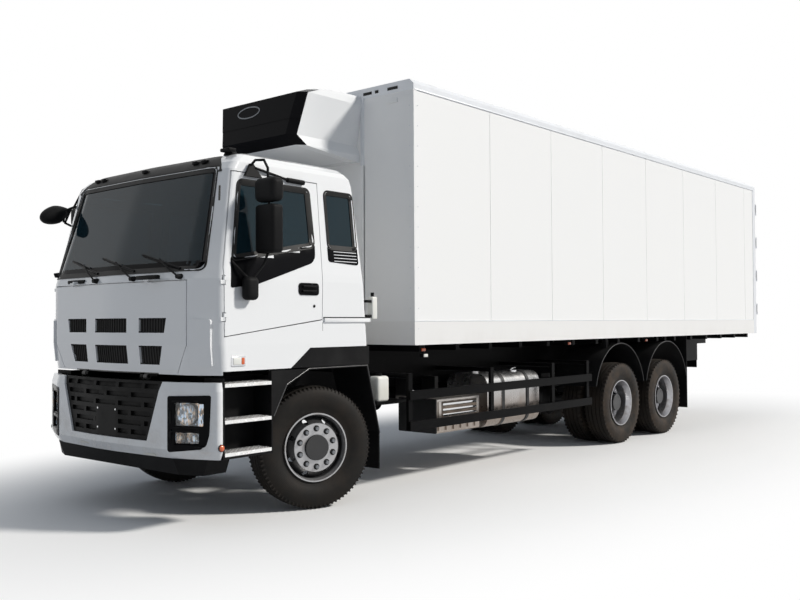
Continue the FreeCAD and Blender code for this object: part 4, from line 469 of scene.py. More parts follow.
glossBlack = twoTone((0.003, 0.003, 0.004, 1.0), (0.007, 0.007, 0.008, 1.0), roughness=(0.16, 0.12), cloud=(2.5, 3.0),
                     grain=(200.0, 2.0), depth=(0.0001, 0.2))
dullRing = twoTone((0.13, 0.14, 0.15, 1.0), (0.24, 0.25, 0.27, 1.0), roughness=(0.30, 0.2), cloud=(40.0, 4.0))
grilleBlack = twoTone((0.004, 0.004, 0.0042, 1.0), (0.010, 0.010, 0.010, 1.0), roughness=(0.50, 0.2),
                      cloud=(6.0, 5.0, 0.6), edges=(0.45, 0.8), share=0.4, grain=(300.0, 2.0), depth=(0.0004, 0.3))
castIron = twoTone((0.010, 0.010, 0.011, 1.0), (0.06, 0.043, 0.032, 1.0), roughness=(0.52, 0.25),
                   cloud=(7.0, 6.0, 0.65), edges=(0.50, 0.78), share=0.5, grain=(140.0, 4.0, 0.6), depth=(0.0015, 0.5))
# the battery cover's sunk middle: the same metal as the cover, in shade and dusty
batteryInner = twoTone((0.085, 0.066, 0.052, 1.0), (0.16, 0.125, 0.098, 1.0), roughness=(0.45, 0.2),
                       cloud=(9.0, 5.0, 0.6), edges=(0.35, 0.75), depth=(0.0008, 0.4))
foldedLip = twoTone((0.86, 0.86, 0.85, 1.0), (0.45, 0.42, 0.38, 1.0), roughness=(0.25, 0.3), cloud=(14.0, 5.0, 0.6),
                    edges=(0.50, 0.78), share=0.5)
brightTrim = twoTone((0.70, 0.71, 0.72, 1.0), (0.38, 0.36, 0.33, 1.0), roughness=(0.12, 0.25), cloud=(30.0, 5.0, 0.6),
                     edges=(0.55, 0.8), share=0.3)
# lip plastic: a little paler than the black plastic, a painted highlight along the lips
lipHighlightPlastic = twoTone((0.035, 0.035, 0.036, 1.0), (0.060, 0.060, 0.062, 1.0), roughness=(0.30, 0.1), cloud=(5.0, 3.0))
rubberSeal = twoTone((0.006, 0.006, 0.006, 1.0), (0.014, 0.014, 0.014, 1.0), roughness=(0.45, 0.2),
                     cloud=(12.0, 4.0), grain=(300.0, 2.0), depth=(0.0003, 0.3))
amberLens = twoTone((0.55, 0.065, 0.012, 1.0), (0.68, 0.13, 0.02, 1.0), roughness=(0.12, 0.12), cloud=(2.0, 1.0),
                    stretch=(60.0, 60.0, 8.0))
redLens = twoTone((0.42, 0.010, 0.008, 1.0), (0.58, 0.022, 0.016, 1.0), roughness=(0.12, 0.12), cloud=(2.0, 1.0),
                  stretch=(60.0, 60.0, 8.0))
darkGlass = twoTone((0.020, 0.055, 0.075, 1.0), (0.036, 0.084, 0.110, 1.0), roughness=(0.015, 0.02), cloud=(1.2, 3.0))
clearGlass = twoTone((0.93, 0.95, 0.96, 1.0), (0.80, 0.84, 0.86, 1.0), roughness=(0.02, 0.04), cloud=(3.0, 1.0),
                     stretch=(40.0, 40.0, 3.0), share=0.3)
mouldedDash = twoTone((0.050, 0.051, 0.053, 1.0), (0.080, 0.080, 0.080, 1.0), roughness=(0.50, 0.15),
                      cloud=(4.0, 4.0), grain=(300.0, 2.0), depth=(0.0005, 0.4))

materials = {
    "cab_paint": finish("cab paint", paintedCab, **{"Coat Weight": 0.6, "Coat Roughness": 0.06}),
    "bumper_paint": finish("bumper paint", paintedCab, **{"Coat Weight": 0.4, "Coat Roughness": 0.12}),
    "box_skin": finish("box skin", insulatedSkin),
    "box_edge": finish("box edge", edgeProfile, Metallic=0.15),
    "unit_shell": finish("unit shell", paintedCab, **{"Coat Weight": 0.3}),
    "chassis_black": finish("chassis paint", chassisPaint, **{"Specular IOR Level": 0.04}),
    "engine_grey": finish("engine iron", castIron),
    "black_plastic": finish("grained plastic", grainedPlastic, **{"Specular IOR Level": 0.06}),
    "tank_metal": finish("tank metal", brushedTank),
    "axle_iron": finish("axle iron", castIron),
    "screen_glass": finish("dark glass", darkGlass, **{"Transmission Weight": 0.7, "IOR": 1.27}),
    "lamp_glass": finish("lamp glass", clearGlass, **{"Transmission Weight": 1.0, "IOR": 1.45}),
    "seat_cloth": finish("seat cloth", wovenCloth, **{"Sheen Weight": 0.3}),
    "dash_plastic": finish("dash plastic", mouldedDash),
    "cab_lining": finish("cab lining", mouldedDash),
}
panelFinish = finish("panel paint", panelPaint, **{"Coat Roughness": 0.06})
frameFinish = finish("front frame paint", frontFramePaint, **{"Coat Roughness": 0.06})
gloss = finish("gloss black", glossBlack, **{"Specular IOR Level": 0.04})
grilleFinish = finish("grille black", grilleBlack, **{"Specular IOR Level": 0.10})
lipHighlightFinish = finish("lip plastic painted highlight", lipHighlightPlastic, **{"Specular IOR Level": 0.5})
seal = finish("rubber seal", rubberSeal, **{"Specular IOR Level": 0.2})
chrome = finish("bright trim", brightTrim, Metallic=1.0)
chequered = finish("tread plate", treadPlate, Metallic=0.85)
brightLip = finish("step lip", foldedLip, Metallic=0.3)
reflector = finish("reflector", reflectorMetal, Metallic=0.9)
dull = finish("dull ring", dullRing)
pressed = finish("pressed metal", pressedMetal)
# dusty: the battery window's finish, painted shade with dust
dusty = finish("battery inner", batteryInner, Metallic=0.5)
milky = finish("milky plastic", milkyPlastic)
amber = finish("amber lens", amberLens, **{"Coat Weight": 0.6})
red = finish("red lens", redLens, **{"Coat Weight": 0.6})
plastic = materials["black_plastic"]

# the record's slot of each finish, where a piece doesn't name another
slots = {material.name: slotName for slotName, material in materials.items()}
for slotName, those in (("black_plastic", (gloss, seal, lipHighlightFinish, dusty)),
                        ("rim_bright", (chrome, dull, chequered, brightLip, reflector)),
                        ("lamp_glass", (milky, amber, red))):
    for material in those:
        slots[material.name] = slotName
print("finishes made")


def dress(node, material):
    nodes[node].data.materials.clear()
    nodes[node].data.materials.append(material)


for row in frame["record"]["subparts"]:
    if row["material_slot"] in materials:
        dress(row["node"], materials[row["material_slot"]])
dress("front_panel", panelFinish)
dress("cab_front", frameFinish)
dress("battery_box", pressed)
dress("lower_grille", grilleFinish)
dress("bumper", materials["bumper_paint"])

wheels = {
    "rest": -18.65,
    "frontX": 1.0266,
    "frontLead": 0.0326,
    "centreZ": 0.535,
    "rearX": 0.924,
    "rearY": (5.529, 6.862),
    "twinOffset": 0.170,
}
wheelFinish = {}
for side, word in sides:
    centre = (side * wheels["frontX"], axleY - side * wheels["frontLead"], wheels["centreZ"])
    turn = radians(wheels["rest"])
    wheelFinish["front_wheel_" + word] = finish("front tyre " + word, tyreRubber(centre, turn, 0.12),
                                              **{"Specular IOR Level": 0.15})
    dress("front_rim_" + word, finish("front rim " + word, frontRimSteel(centre, turn)))
    for y, where in zip(wheels["rearY"], ("fore", "aft")):
        centre = (side * wheels["rearX"], axleY + y, wheels["centreZ"])
        wheelFinish["rear_wheel_" + where + "_" + word] = finish("rear tyre " + where + " " + word,
                                                                  tyreRubber(centre, 0.0, 0.5),
                                                                  **{"Specular IOR Level": 0.15})
        dress("rear_rims_" + where + "_" + word, finish("rear rim " + where + " " + word,
                                                        rearRimSteel(centre, 0.0)))
print("nodes painted")


# pieces: what they share
def spot(x, y, z):
    # y is counted from the front axle
    return Vector((x, y + axleY, z))


def addPiece(name, mesh, body, material, slotName="", flat=False):
    slotName = slotName or slots[material.name]
    bmesh.ops.recalc_face_normals(mesh, faces=mesh.faces)
    data = bpy.data.meshes.new(name)
    mesh.to_mesh(data)
    mesh.free()
    for face in data.polygons:
        face.use_smooth = not flat
    if not flat:
        data.set_sharp_from_angle(angle=radians(38))
    data.materials.append(material)
    piece = bpy.data.objects.new(name, data)
    bpy.context.scene.collection.objects.link(piece)
    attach(piece, body)
    return piece


def block(mesh, low, high, edge=0.0, segments=2):
    # any two opposite corners, with y from the front axle
    ends = [sorted(pair) for pair in zip(spot(*low), spot(*high))]
    low, high = Vector([end[0] for end in ends]), Vector([end[1] for end in ends])
    place = Matrix.Translation((low + high) / 2) @ Matrix.Diagonal((*(high - low), 1.0))
    made = bmesh.ops.create_cube(mesh, size=1.0, matrix=place)["verts"]
    if edge:
        edges = list({e for v in made for e in v.link_edges})
        bmesh.ops.bevel(mesh, geom=edges, offset=edge, segments=segments, affect="EDGES", profile=0.5, material=-1)


def bar(mesh, start, end, radius, sides=14, endRadius=None):
    run = end - start
    place = Matrix.Translation((start + end) / 2) @ run.to_track_quat("Z", "Y").to_matrix().to_4x4()
    bmesh.ops.create_cone(mesh, cap_ends=True, segments=sides, radius1=radius,
                          radius2=radius if endRadius is None else endRadius, depth=run.length, matrix=place)


def chain(mesh, points, radius, sides=14):
    for start, end in zip(points[:-1], points[1:]):
        bar(mesh, start, end, radius, sides)
    for point in points[1:-1]:
        bmesh.ops.create_uvsphere(mesh, u_segments=sides, v_segments=sides // 2, radius=radius,
                                  matrix=Matrix.Translation(point))


def dome(mesh, place, towards, radius, height, sides=20):
    # a lens or rivet head that stands out of a surface
    turn = Vector(towards).to_track_quat("Z", "Y").to_matrix().to_4x4()
    bmesh.ops.create_uvsphere(mesh, u_segments=sides, v_segments=max(6, sides // 2), radius=radius,
                              matrix=Matrix.Translation(place) @ turn @ Matrix.Diagonal((1, 1, height / radius, 1)))


shapes = {}


def surface(names, start, towards):
    nearest = None
    for name in names:
        if name not in shapes:
            shapes[name] = BVHTree.FromObject(nodes[name], bpy.context.evaluated_depsgraph_get())
        place, normal, face, reach = shapes[name].ray_cast(start, towards)
        if place is not None and (nearest is None or reach < nearest[1]):
            nearest = (place, reach)
    return nearest[0] if nearest else None


# where the rays start: well ahead of the cab, and beside it
rayFront = -1.9
raySide = 1.7
ahead = Vector((0.0, 1.0, 0.0))


def onFront(names, x, z):
    return surface(names, spot(x, rayFront, z), ahead)


def onSide(names, side, y, z):
    return surface(names, spot(side * raySide, y, z), Vector((-side, 0.0, 0.0)))


def fromFront(outline):
    return [(x, rayFront, z) for x, z in outline]


def fromSide(side, outline):
    return [(side * raySide, y, z) for y, z in outline]


def pulled(outline, margin):
    # the same outline grown outwards by a margin
    middle = [sum(values) / len(outline) for values in zip(*outline)]
    return [tuple(value + (margin if value > centre else -margin) for value, centre in zip(point, middle))
            for point in outline]


def overlay(mesh, corners, rounding, towards, names, lift, ring=0.0, slices=(0.06, 0.06), sink=0.004, holes=()):
    # a sheet cut to an outline and laid on the panels behind it; a ring keeps only its border
    towards = Vector(towards)
    if isinstance(corners, Matrix):
        bmesh.ops.create_circle(mesh, cap_ends=True, segments=44, radius=1.0, matrix=corners)
        face = mesh.faces[:][0]
    else:
        face = mesh.faces.new([mesh.verts.new(spot(*corner)) for corner in corners])
    if rounding:
        bmesh.ops.bevel(mesh, geom=list(face.verts), offset=rounding, segments=6, affect="VERTICES", profile=0.5,
                        material=-1)
        face = max(mesh.faces, key=lambda f: f.calc_area())
    for hole in holes:
        mesh.faces.new([mesh.verts.new(spot(*corner)) for corner in hole])
    if holes:
        bmesh.ops.delete(mesh, geom=mesh.faces[:], context="FACES_ONLY")
        bmesh.ops.triangle_fill(mesh, use_beauty=True, edges=mesh.edges[:])
    if ring:
        bmesh.ops.inset_region(mesh, faces=[face], thickness=ring, use_boundary=True, use_even_offset=True)
        bmesh.ops.delete(mesh, geom=[face], context="FACES_ONLY")
    run = 1 if abs(towards.x) > 0.5 else 0
    for axis, step in ((run, slices[0]), (2, slices[1])):
        values = [v.co[axis] for v in mesh.verts]
        normal = Vector((0.0, 0.0, 0.0))
        normal[axis] = 1.0
        level = min(values) + step
        while level < max(values):
            bmesh.ops.bisect_plane(mesh, geom=mesh.verts[:] + mesh.edges[:] + mesh.faces[:],
                                   plane_co=normal * level, plane_no=normal)
            level += step
    for vert in mesh.verts:
        place = surface(names, vert.co - towards * 0.5, towards)
        if place is None:
            place = shapes[names[0]].find_nearest(vert.co)[0]
        axis = 0 if abs(towards.x) > 0.5 else 1
        vert.co[axis] = place[axis]
    bmesh.ops.translate(mesh, verts=mesh.verts[:], vec=towards * sink)
    made = bmesh.ops.extrude_face_region(mesh, geom=mesh.faces[:], use_keep_orig=True)
    raised = [item for item in made["geom"] if isinstance(item, bmesh.types.BMVert)]
    bmesh.ops.translate(mesh, verts=raised, vec=towards * -(lift + sink))


def blockPiece(name, body, material, *blocks, **how):
    # one piece made of blocks, each with its two corners and the bevel of its edges
    mesh = bmesh.new()
    for shape in blocks:
        block(mesh, *shape)
    return addPiece(name, mesh, body, material, **how)


def overlayPiece(name, body, material, *laid, slotName="", **how):
    mesh = bmesh.new()
    overlay(mesh, *laid, **how)
    return addPiece(name, mesh, body, material, slotName)


def around(mesh, centre, turn, count):
    # repeats what is in the mesh evenly round a wheel's axle
    axle = Matrix.Rotation(turn, 3, "Z") @ Vector((1.0, 0.0, 0.0))
    bmesh.ops.spin(mesh, geom=mesh.verts[:] + mesh.edges[:] + mesh.faces[:], cent=centre, axis=axle,
                   angle=2 * pi * (count - 1) / count, steps=count - 1, use_duplicate=True)


# tyres: a spun body with its grooves, and shoulder blocks round it
tyre = {
    "radius": 0.535,
    "side": ((0.1162, 0.2868), (0.1162, 0.318), (0.134, 0.352), (0.147, 0.392), (0.1498, 0.420), (0.1498, 0.445),
             (0.146, 0.470), (0.140, 0.492), (0.135, 0.503)),
    "crown": ((0.132, 0.513), (0.122, 0.5235)),
    "grooves": (0.082, 0.030),
    "grooveHalf": 0.006,
    "grooveDepth": 0.012,
    "crownDrop": 0.0095,
    "crownHalf": 0.125,
    "grooveFoot": 0.6,
    "belowCrown": 0.0004,
    "steps": 96,
}
lug = {
    "frontCount": 84,
    "rearCount": 52,
    "inner": 0.092,
    "outer": 0.1365,
    "low": 0.500,
    "outerTop": 0.5285,
    "rearHalf": 0.0105,
    "frontHalf": 0.0062,
}


def crownHeight(x):
    # the tread's own gentle arch, a little lower at its edges
    return tyre["radius"] - tyre["crownDrop"] * (abs(x) / tyre["crownHalf"]) ** 2


def makeTyre(name, middles, centre, turn, body, replaced, count, half):
    mesh = bmesh.new()
    spin = Matrix.Translation(centre) @ Matrix.Rotation(turn, 4, "Z")
    axle = Matrix.Rotation(turn, 3, "Z") @ Vector((1.0, 0.0, 0.0))
    halfOutline = list(tyre["side"]) + list(tyre["crown"])
    for middle in tyre["grooves"]:
        for share, depth in ((1.0, 0.0), (tyre["grooveFoot"], tyre["grooveDepth"]),
                             (-tyre["grooveFoot"], tyre["grooveDepth"]), (-1.0, 0.0)):
            x = middle + share * tyre["grooveHalf"]
            halfOutline.append((x, crownHeight(x) - tyre["belowCrown"] - depth))
    outline = halfOutline + [(-x, radius) for x, radius in reversed(halfOutline)]
    for middle in middles:
        verts = [mesh.verts.new(spin @ Vector((middle + x, 0.0, radius))) for x, radius in outline]
        edges = [mesh.edges.new(pair) for pair in zip(verts, verts[1:] + verts[:1])]
        bmesh.ops.spin(mesh, geom=verts + edges, cent=centre, axis=axle, angle=2 * pi, steps=tyre["steps"],
                       use_merge=True)
    blocks = bmesh.new()
    for middle in middles:
        for side in (1, -1):
            made = bmesh.ops.create_cube(blocks, size=1.0)["verts"]
            for vert in made:
                out = vert.co.x > 0
                across = lug["outer"] if out else lug["inner"]
                top = vert.co.z > 0
                rise = (lug["outerTop"] if out else crownHeight(across)) if top else lug["low"]
                vert.co = spin @ Vector((middle + side * across, half * (1 if vert.co.y > 0 else -1), rise))
    around(blocks, centre, turn, count)
    data = bpy.data.meshes.new(name + " blocks")
    blocks.to_mesh(data)
    blocks.free()
    mesh.from_mesh(data)
    piece = addPiece(name, mesh, body, wheelFinish[body], "rubber_black")
    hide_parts(replaced)


nuts = {
    "circle": 0.166,
    "count": 10,
    "nut": 0.0165,
    "height": 0.026,
    "washer": 0.027,
    "washerHeight": 0.004,
    "sunk": 0.002,
}


def makeNuts(name, faceX, side, centre, turn, body):
    # hexagon nuts on dark washers, all on one circle
    for part, material, radius, corners, height in (
            ("nuts", dull, nuts["nut"], 6, nuts["height"]),
            ("washers", seal, nuts["washer"], 20, nuts["washerHeight"])):
        mesh = bmesh.new()
        spin = Matrix.Translation(centre) @ Matrix.Rotation(turn, 4, "Z")
        start = spin @ Vector((side * (faceX - nuts["sunk"]), 0.0, nuts["circle"]))
        end = spin @ Vector((side * (faceX + height), 0.0, nuts["circle"]))
        bar(mesh, start, end, radius, corners)
        around(mesh, centre, turn, nuts["count"])
        addPiece(name + "_" + part, mesh, body, material, flat=part == "nuts")


def wheelFace(rim, centre, turn, side):
    # how far out the wheel's disc stands at the nut circle, halfway between two of its vents
    spin = Matrix.Translation(centre) @ Matrix.Rotation(turn, 4, "Z")
    start = spin @ Vector((side * 0.6, nuts["circle"] * sin(pi / 8), nuts["circle"] * cos(pi / 8)))
    end = spin @ Vector((0.0, nuts["circle"] * sin(pi / 8), nuts["circle"] * cos(pi / 8)))
    place = surface([rim], start, (end - start).normalized())
    return side * (spin.inverted() @ place).x


for side, word in sides:
    centre = Vector((side * wheels["frontX"], axleY - side * wheels["frontLead"], wheels["centreZ"]))
    turn = radians(wheels["rest"])
    body = "front_wheel_" + word
    makeTyre("front_tyre_treaded_" + word, (0.0,), centre, turn, body, "front_tyre_" + word, lug["frontCount"],
             lug["frontHalf"])
    face = wheelFace("front_rim_" + word, centre, turn, side)
    makeNuts("front_wheel_" + word, face, side, centre, turn, body)
    for y, where in zip(wheels["rearY"], ("fore", "aft")):
        centre = Vector((side * wheels["rearX"], axleY + y, wheels["centreZ"]))
        body = "rear_wheel_" + where + "_" + word
        makeTyre("rear_tyres_treaded_" + where + "_" + word, (wheels["twinOffset"], -wheels["twinOffset"]), centre,
                 0.0, body, "rear_tyres_" + where + "_" + word, lug["rearCount"], lug["rearHalf"])
        face = wheelFace("rear_rims_" + where + "_" + word, centre, 0.0, side)
        makeNuts(body, face, side, centre, 0.0, body)
print("wheels dressed")


# windscreen, header and wipers
screen = {
    "opening": ((-1.105, 2.050), (1.105, 2.050), (1.000, 2.885), (-1.000, 2.885)),
    "rounding": 0.06,
    "seal": (0.016, 0.044),
    "border": (-0.002, 0.042),
    "foot": ((-1.080, 2.058), (1.080, 2.058), (1.074, 2.118), (-1.074, 2.118)),
    "header": ((-1.068, 2.846), (1.068, 2.846), (1.010, 2.925), (0.905, 3.006), (-0.905, 3.006), (-1.010, 2.925)),
    "headerRounding": 0.02,
    "lampX": (-0.80, -0.69, 0.0, 0.69, 0.80),
    "lampZ": 2.955,
    "lampHalf": 0.034,
}
margin, width = screen["seal"]
overlayPiece("screen_seal", "cab", seal, fromFront(pulled(screen["opening"], margin)), screen["rounding"], ahead,
             ["cab_front", "cab_glass"], 0.006, ring=width)
margin, width = screen["border"]
overlayPiece("screen_border", "cab", gloss, fromFront(pulled(screen["opening"], margin)), screen["rounding"], ahead,
             ["cab_glass"], 0.0012, ring=width, sink=0.0005)
overlayPiece("screen_foot", "cab", gloss, fromFront(screen["foot"]), 0.0, ahead, ["cab_glass"], 0.0014, sink=0.0005)
overlayPiece("header_band", "cab", seal, fromFront(screen["header"]), screen["headerRounding"], ahead,
             ["cab_roof", "cab_front", "cab_glass"], 0.007)

mesh = bmesh.new()
z, half = screen["lampZ"], screen["lampHalf"]
for x in screen["lampX"]:
    y = onFront(["cab_roof", "cab_front"], x, z).y - axleY
    block(mesh, (x - half, y - 0.034, z - 0.012), (x + half, y + 0.02, z + 0.016), 0.006)
addPiece("header_lamps", mesh, "cab", gloss)

wiper = {
    "pivots": (-0.215, 0.331, 0.916),
    "pivotZ": 1.992,
    "boss": (0.024, 0.017),
    "arm": (0.30, 0.153),
    "armLifts": (0.028, 0.034),
    "armBow": 0.012,
    "armRadius": 0.0075,
    "bladeReach": (0.03, 0.56),
    "bladeRise": (0.065, 0.198),
    "bladeLift": 0.014,
    "bladeRadius": 0.012,
    "bladeSteps": 5,
}


def onScreen(x, z, lift):
    return onFront(["cab_glass", "cab_front", "front_panel"], x, z) + Vector((0.0, -lift, 0.0))


blades = bmesh.new()
arms = bmesh.new()
z = wiper["pivotZ"]
for pivot in wiper["pivots"]:
    reach, rise = wiper["arm"]
    foot = onScreen(pivot, z, wiper["armLifts"][0])
    knee = onScreen(pivot - reach, z + rise, wiper["armLifts"][1])
    bow = (foot + knee) / 2 + Vector((0.0, -wiper["armBow"], 0.0))
    chain(arms, [foot, bow, knee], wiper["armRadius"], 10)
    bar(arms, onScreen(pivot, z, -0.004), onScreen(pivot, z, 0.045), wiper["boss"][0], 16, wiper["boss"][1])
    (inner, outer), (low, high) = wiper["bladeReach"], wiper["bladeRise"]
    shares = [index / wiper["bladeSteps"] for index in range(wiper["bladeSteps"] + 1)]
    chain(blades, [onScreen(pivot - inner - (outer - inner) * share, z + low + (high - low) * share,
                            wiper["bladeLift"]) for share in shares], wiper["bladeRadius"], 8)
addPiece("wiper_arms", arms, "cab", plastic)
addPiece("wiper_blades", blades, "cab", gloss)

cover = {
    "x": 0.575,
    "half": 0.135,
    "z": (1.979, 2.012),
    "restZ": 1.99,
    "reach": 0.022,
}
mesh = bmesh.new()
for side in (-1, 1):
    x = side * cover["x"]
    y = onFront(["cab_front", "front_panel"], x, cover["restZ"]).y - axleY
    block(mesh, (x - cover["half"], y - cover["reach"], cover["z"][0]),
          (x + cover["half"], y + 0.03, cover["z"][1]), 0.008, 3)
addPiece("hinge_covers", mesh, "cab", plastic)
print("front glass dressed")


# doors: seals, the dark trim under the glass, handles and seams
door = {
    "window": ((-1.062, 2.129), (-0.172, 2.290), (-0.185, 2.770), (-0.943, 2.770)),
    "windowRounding": 0.057,
    "seal": (0.022, 0.052),
    "trim": ((-1.098, 1.900), (-0.825, 1.936), (-0.200, 2.135), (-0.158, 2.185), (-0.150, 2.300), (-1.085, 2.150)),
    "trimRounding": 0.02,
    "handle": ((-0.372, 1.858), (-0.135, 1.858), (-0.135, 1.962), (-0.372, 1.962)),
    "handleRounding": 0.03,
    "grips": ((1.932, 0.020), (1.893, 0.014)),
    "gripSpan": (-0.335, -0.175),
    "gripBow": 0.006,
    "gripRadius": 0.009,
    "keyhole": (-0.190, 1.765),
    "keyholeRadius": 0.013,
}
quarter = {
    "window": ((0.022, 2.282), (0.365, 2.282), (0.365, 2.781), (0.022, 2.781)),
    "rounding": 0.055,
    "seal": (0.018, 0.044),
    "louvre": ((0.004, 2.300), (0.004, 2.158), (0.385, 2.140), (0.385, 2.300)),
    "louvreRounding": 0.025,
    "slats": (2.166, 2.194, 2.222, 2.250),
    "slatSpan": (0.070, 0.360),
    "slatLift": 0.006,
    "slatRadius": 0.0045,
}
ledge = {
    "wallAt": (0.2, 1.645),
    "span": (-0.077, 0.512),
    "z": (1.626, 1.662),
    "reach": 0.016,
    "foot": 0.02,
    "sealHeight": 0.010,
    "seamY": (-0.092, -0.088),
    "seamZ": (1.408, 1.625),
}
repeater = {
    "y": (-1.096, -0.954),
    "z": (1.282, 1.364),
    "middleZ": 1.323,
    "split": -1.000,
    "rim": 0.013,
}

for side, word in sides:
    inwards = (-side, 0.0, 0.0)
    doorBody = "cab_door_" + word
    doorNode = "door_" + word
    wallNode = "cab_side_" + word
    doorSkin = [doorNode, "door_glass_" + word]
    wallSkin = [wallNode, "cab_glass"]
    margin, width = door["seal"]
    overlayPiece("door_seal_" + word, doorBody, seal, fromSide(side, pulled(door["window"], margin)),
                 door["windowRounding"], inwards, doorSkin, 0.006, ring=width)
    overlayPiece("door_trim_" + word, doorBody, gloss, fromSide(side, door["trim"]), door["trimRounding"], inwards,
                 doorSkin, 0.0035)
    overlayPiece("door_handle_plate_" + word, doorBody, gloss, fromSide(side, door["handle"]),
                 door["handleRounding"], inwards, [doorNode], 0.006)
    mesh = bmesh.new()
    for z, reach in door["grips"]:
        start, end = [onSide([doorNode], side, y, z) + Vector((side * reach, 0, 0)) for y in door["gripSpan"]]
        bow = (start + end) / 2 + Vector((side * door["gripBow"], 0, 0))
        chain(mesh, [start, bow, end], door["gripRadius"], 12)
    keyhole = onSide([doorNode], side, *door["keyhole"])
    bar(mesh, keyhole - Vector((side * 0.004, 0, 0)), keyhole + Vector((side * 0.003, 0, 0)), door["keyholeRadius"], 20)
    addPiece("door_handle_" + word, mesh, doorBody, plastic)
    margin, width = quarter["seal"]
    overlayPiece("quarter_seal_" + word, "cab", seal, fromSide(side, pulled(quarter["window"], margin)),
                 quarter["rounding"], inwards, wallSkin, 0.006, ring=width)
    overlayPiece("quarter_louvre_" + word, "cab", gloss, fromSide(side, quarter["louvre"]),
                 quarter["louvreRounding"], inwards, wallSkin, 0.004)
    mesh = bmesh.new()
    for z in quarter["slats"]:
        start, end = [onSide([wallNode], side, y, z) + Vector((side * quarter["slatLift"], 0, 0))
                      for y in quarter["slatSpan"]]
        bar(mesh, start, end, quarter["slatRadius"], 8)
    addPiece("quarter_slats_" + word, mesh, "cab", chrome)

    wall = onSide([wallNode], side, *ledge["wallAt"]).x * side
    (y0, y1), (z0, z1), reach = ledge["span"], ledge["z"], ledge["reach"]
    blockPiece("side_ledge_" + word, "cab", materials["unit_shell"],
               ((side * (wall - ledge["foot"]), y0, z0), (side * (wall + reach), y1, z1), 0.004),
               slotName="cab_paint")
    blockPiece("side_seams_" + word, "cab", seal,
               ((side * (wall - ledge["foot"]), y0 - 0.002, z1 - 0.001),
                (side * (wall + reach * 0.6), y1, z1 + ledge["sealHeight"]), 0.002),
               ((side * (wall - 0.004), ledge["seamY"][0], ledge["seamZ"][0]),
                (side * (wall + 0.0009), ledge["seamY"][1], ledge["seamZ"][1])))

    faces = [onSide(["cab_front", wallNode], side, y, repeater["middleZ"]).x * side for y in repeater["y"]]
    near, far = min(faces), max(faces)
    (y0, y1), (z0, z1), rim, split = repeater["y"], repeater["z"], repeater["rim"], repeater["split"]
    blockPiece("repeater_bezel_" + word, "cab", chrome,
               ((side * (near - 0.01), y0, z0), (side * (far + 0.010), y1, z1), 0.009, 3))
    for colour, lens, start, end in (("clear", milky, y0 + rim, split), ("amber", amber, split + 0.001, y1 - rim)):
        blockPiece("repeater_" + colour + "_" + word, "cab", lens,
                   ((side * (near - 0.005), start, z0 + rim), (side * (far + 0.014), end, z1 - rim), 0.006, 3))
print("doors dressed")


# cooling unit: its black face in two sheets and a bare oval ring
unit = {
    "lower": ((3.322, 0.5907, 0.2815), (3.417, 0.546, 0.195), (3.569, 0.5739, 0.2236)),
    "upper": ((3.569, 0.5739, 0.2236), (3.825, 0.621, 0.272), (3.874, 0.6123, 0.4155)),
    "corner": 0.075,
    "lifts": {"lower": 0.004, "upper": 0.008},
    "ring": (-0.12, 3.719),
    "ringSize": (0.168, 0.062),
    "ringWidth": 0.012,
    "ringLift": 0.013,
    "ringStart": -0.9,
}
for name in ("lower", "upper"):
    # a row of the face runs across at each height and turns back round both corners
    mesh = bmesh.new()
    rows = []
    for z, half, y in unit[name]:
        places = ((-half, y + unit["corner"]), (unit["corner"] - half, y), (half - unit["corner"], y),
                  (half, y + unit["corner"]))
        verts = [mesh.verts.new(spot(x, py, z)) for x, py in places]
        rows.append([mesh.edges.new(pair) for pair in zip(verts[:-1], verts[1:])])
    for first, second in zip(rows[:-1], rows[1:]):
        bmesh.ops.bridge_loops(mesh, edges=first + second)
    made = bmesh.ops.extrude_face_region(mesh, geom=mesh.faces[:], use_keep_orig=True)
    raised = [item for item in made["geom"] if isinstance(item, bmesh.types.BMVert)]
    lift = unit["lifts"][name]
    for vert in raised:
        outer = abs(vert.co.x) > unit["lower"][1][1] - unit["corner"] / 2
        vert.co += Vector((lift * outer * (1 if vert.co.x > 0 else -1), -lift, 0.0))
    addPiece("unit_face_" + name, mesh, "chassis", gloss, slotName="unit_shell", flat=True)
x, z = unit["ring"]
ringPlace = (Matrix.Translation(spot(x, unit["ringStart"], z)) @ Matrix.Rotation(radians(90), 4, "X")
             @ Matrix.Diagonal((*unit["ringSize"], 1.0, 1.0)))
overlayPiece("unit_ring", "chassis", dull, ringPlace, 0.0, ahead, ["cooling_unit"], unit["ringLift"],
             ring=unit["ringWidth"], slices=(0.5, 0.5))
print("cooling unit dressed")


# box: front pilasters, vents, rivets, side markers
box = {
    "front": 1.105,
    "half": 1.300,
    "pilaster": (0.606, 0.650),
    "pilasterZ": (1.44, 3.905),
    "vents": ((0.965, 1.099), (0.798, 0.845), (0.639, 0.755)),
    "ventZ": (3.921, 3.951),
    "rivetY": 1.165,
    "rivetTop": 3.733,
    "rivetStep": 0.1975,
    "rivetCount": 12,
    "rivet": (0.0065, 0.003),
    "rivetInset": 0.052,
    "cornice": (3.8820, 3.8935),
    "rail": (1.630, 1.638),
    "rear": 10.491,
    "lamps": ((1.359, 1.350, "amber"), (1.393, 1.291, "white"), (4.212, 1.352, "amber"), (6.348, 1.352, "amber")),
}
mesh = bmesh.new()
for side in (1, -1):
    block(mesh, (side * box["pilaster"][0], box["front"] - 0.012, box["pilasterZ"][0]),
          (side * box["pilaster"][1], box["front"] + 0.004, box["pilasterZ"][1]), 0.003)
addPiece("front_pilasters", mesh, "chassis", materials["box_edge"])
mesh = bmesh.new()
for side in (1, -1):
    for first, last in box["vents"]:
        block(mesh, (side * first, box["front"] - 0.0025, box["ventZ"][0]),
              (side * last, box["front"] + 0.01, box["ventZ"][1]), 0.001)
addPiece("front_vents", mesh, "chassis", seal)
mesh = bmesh.new()
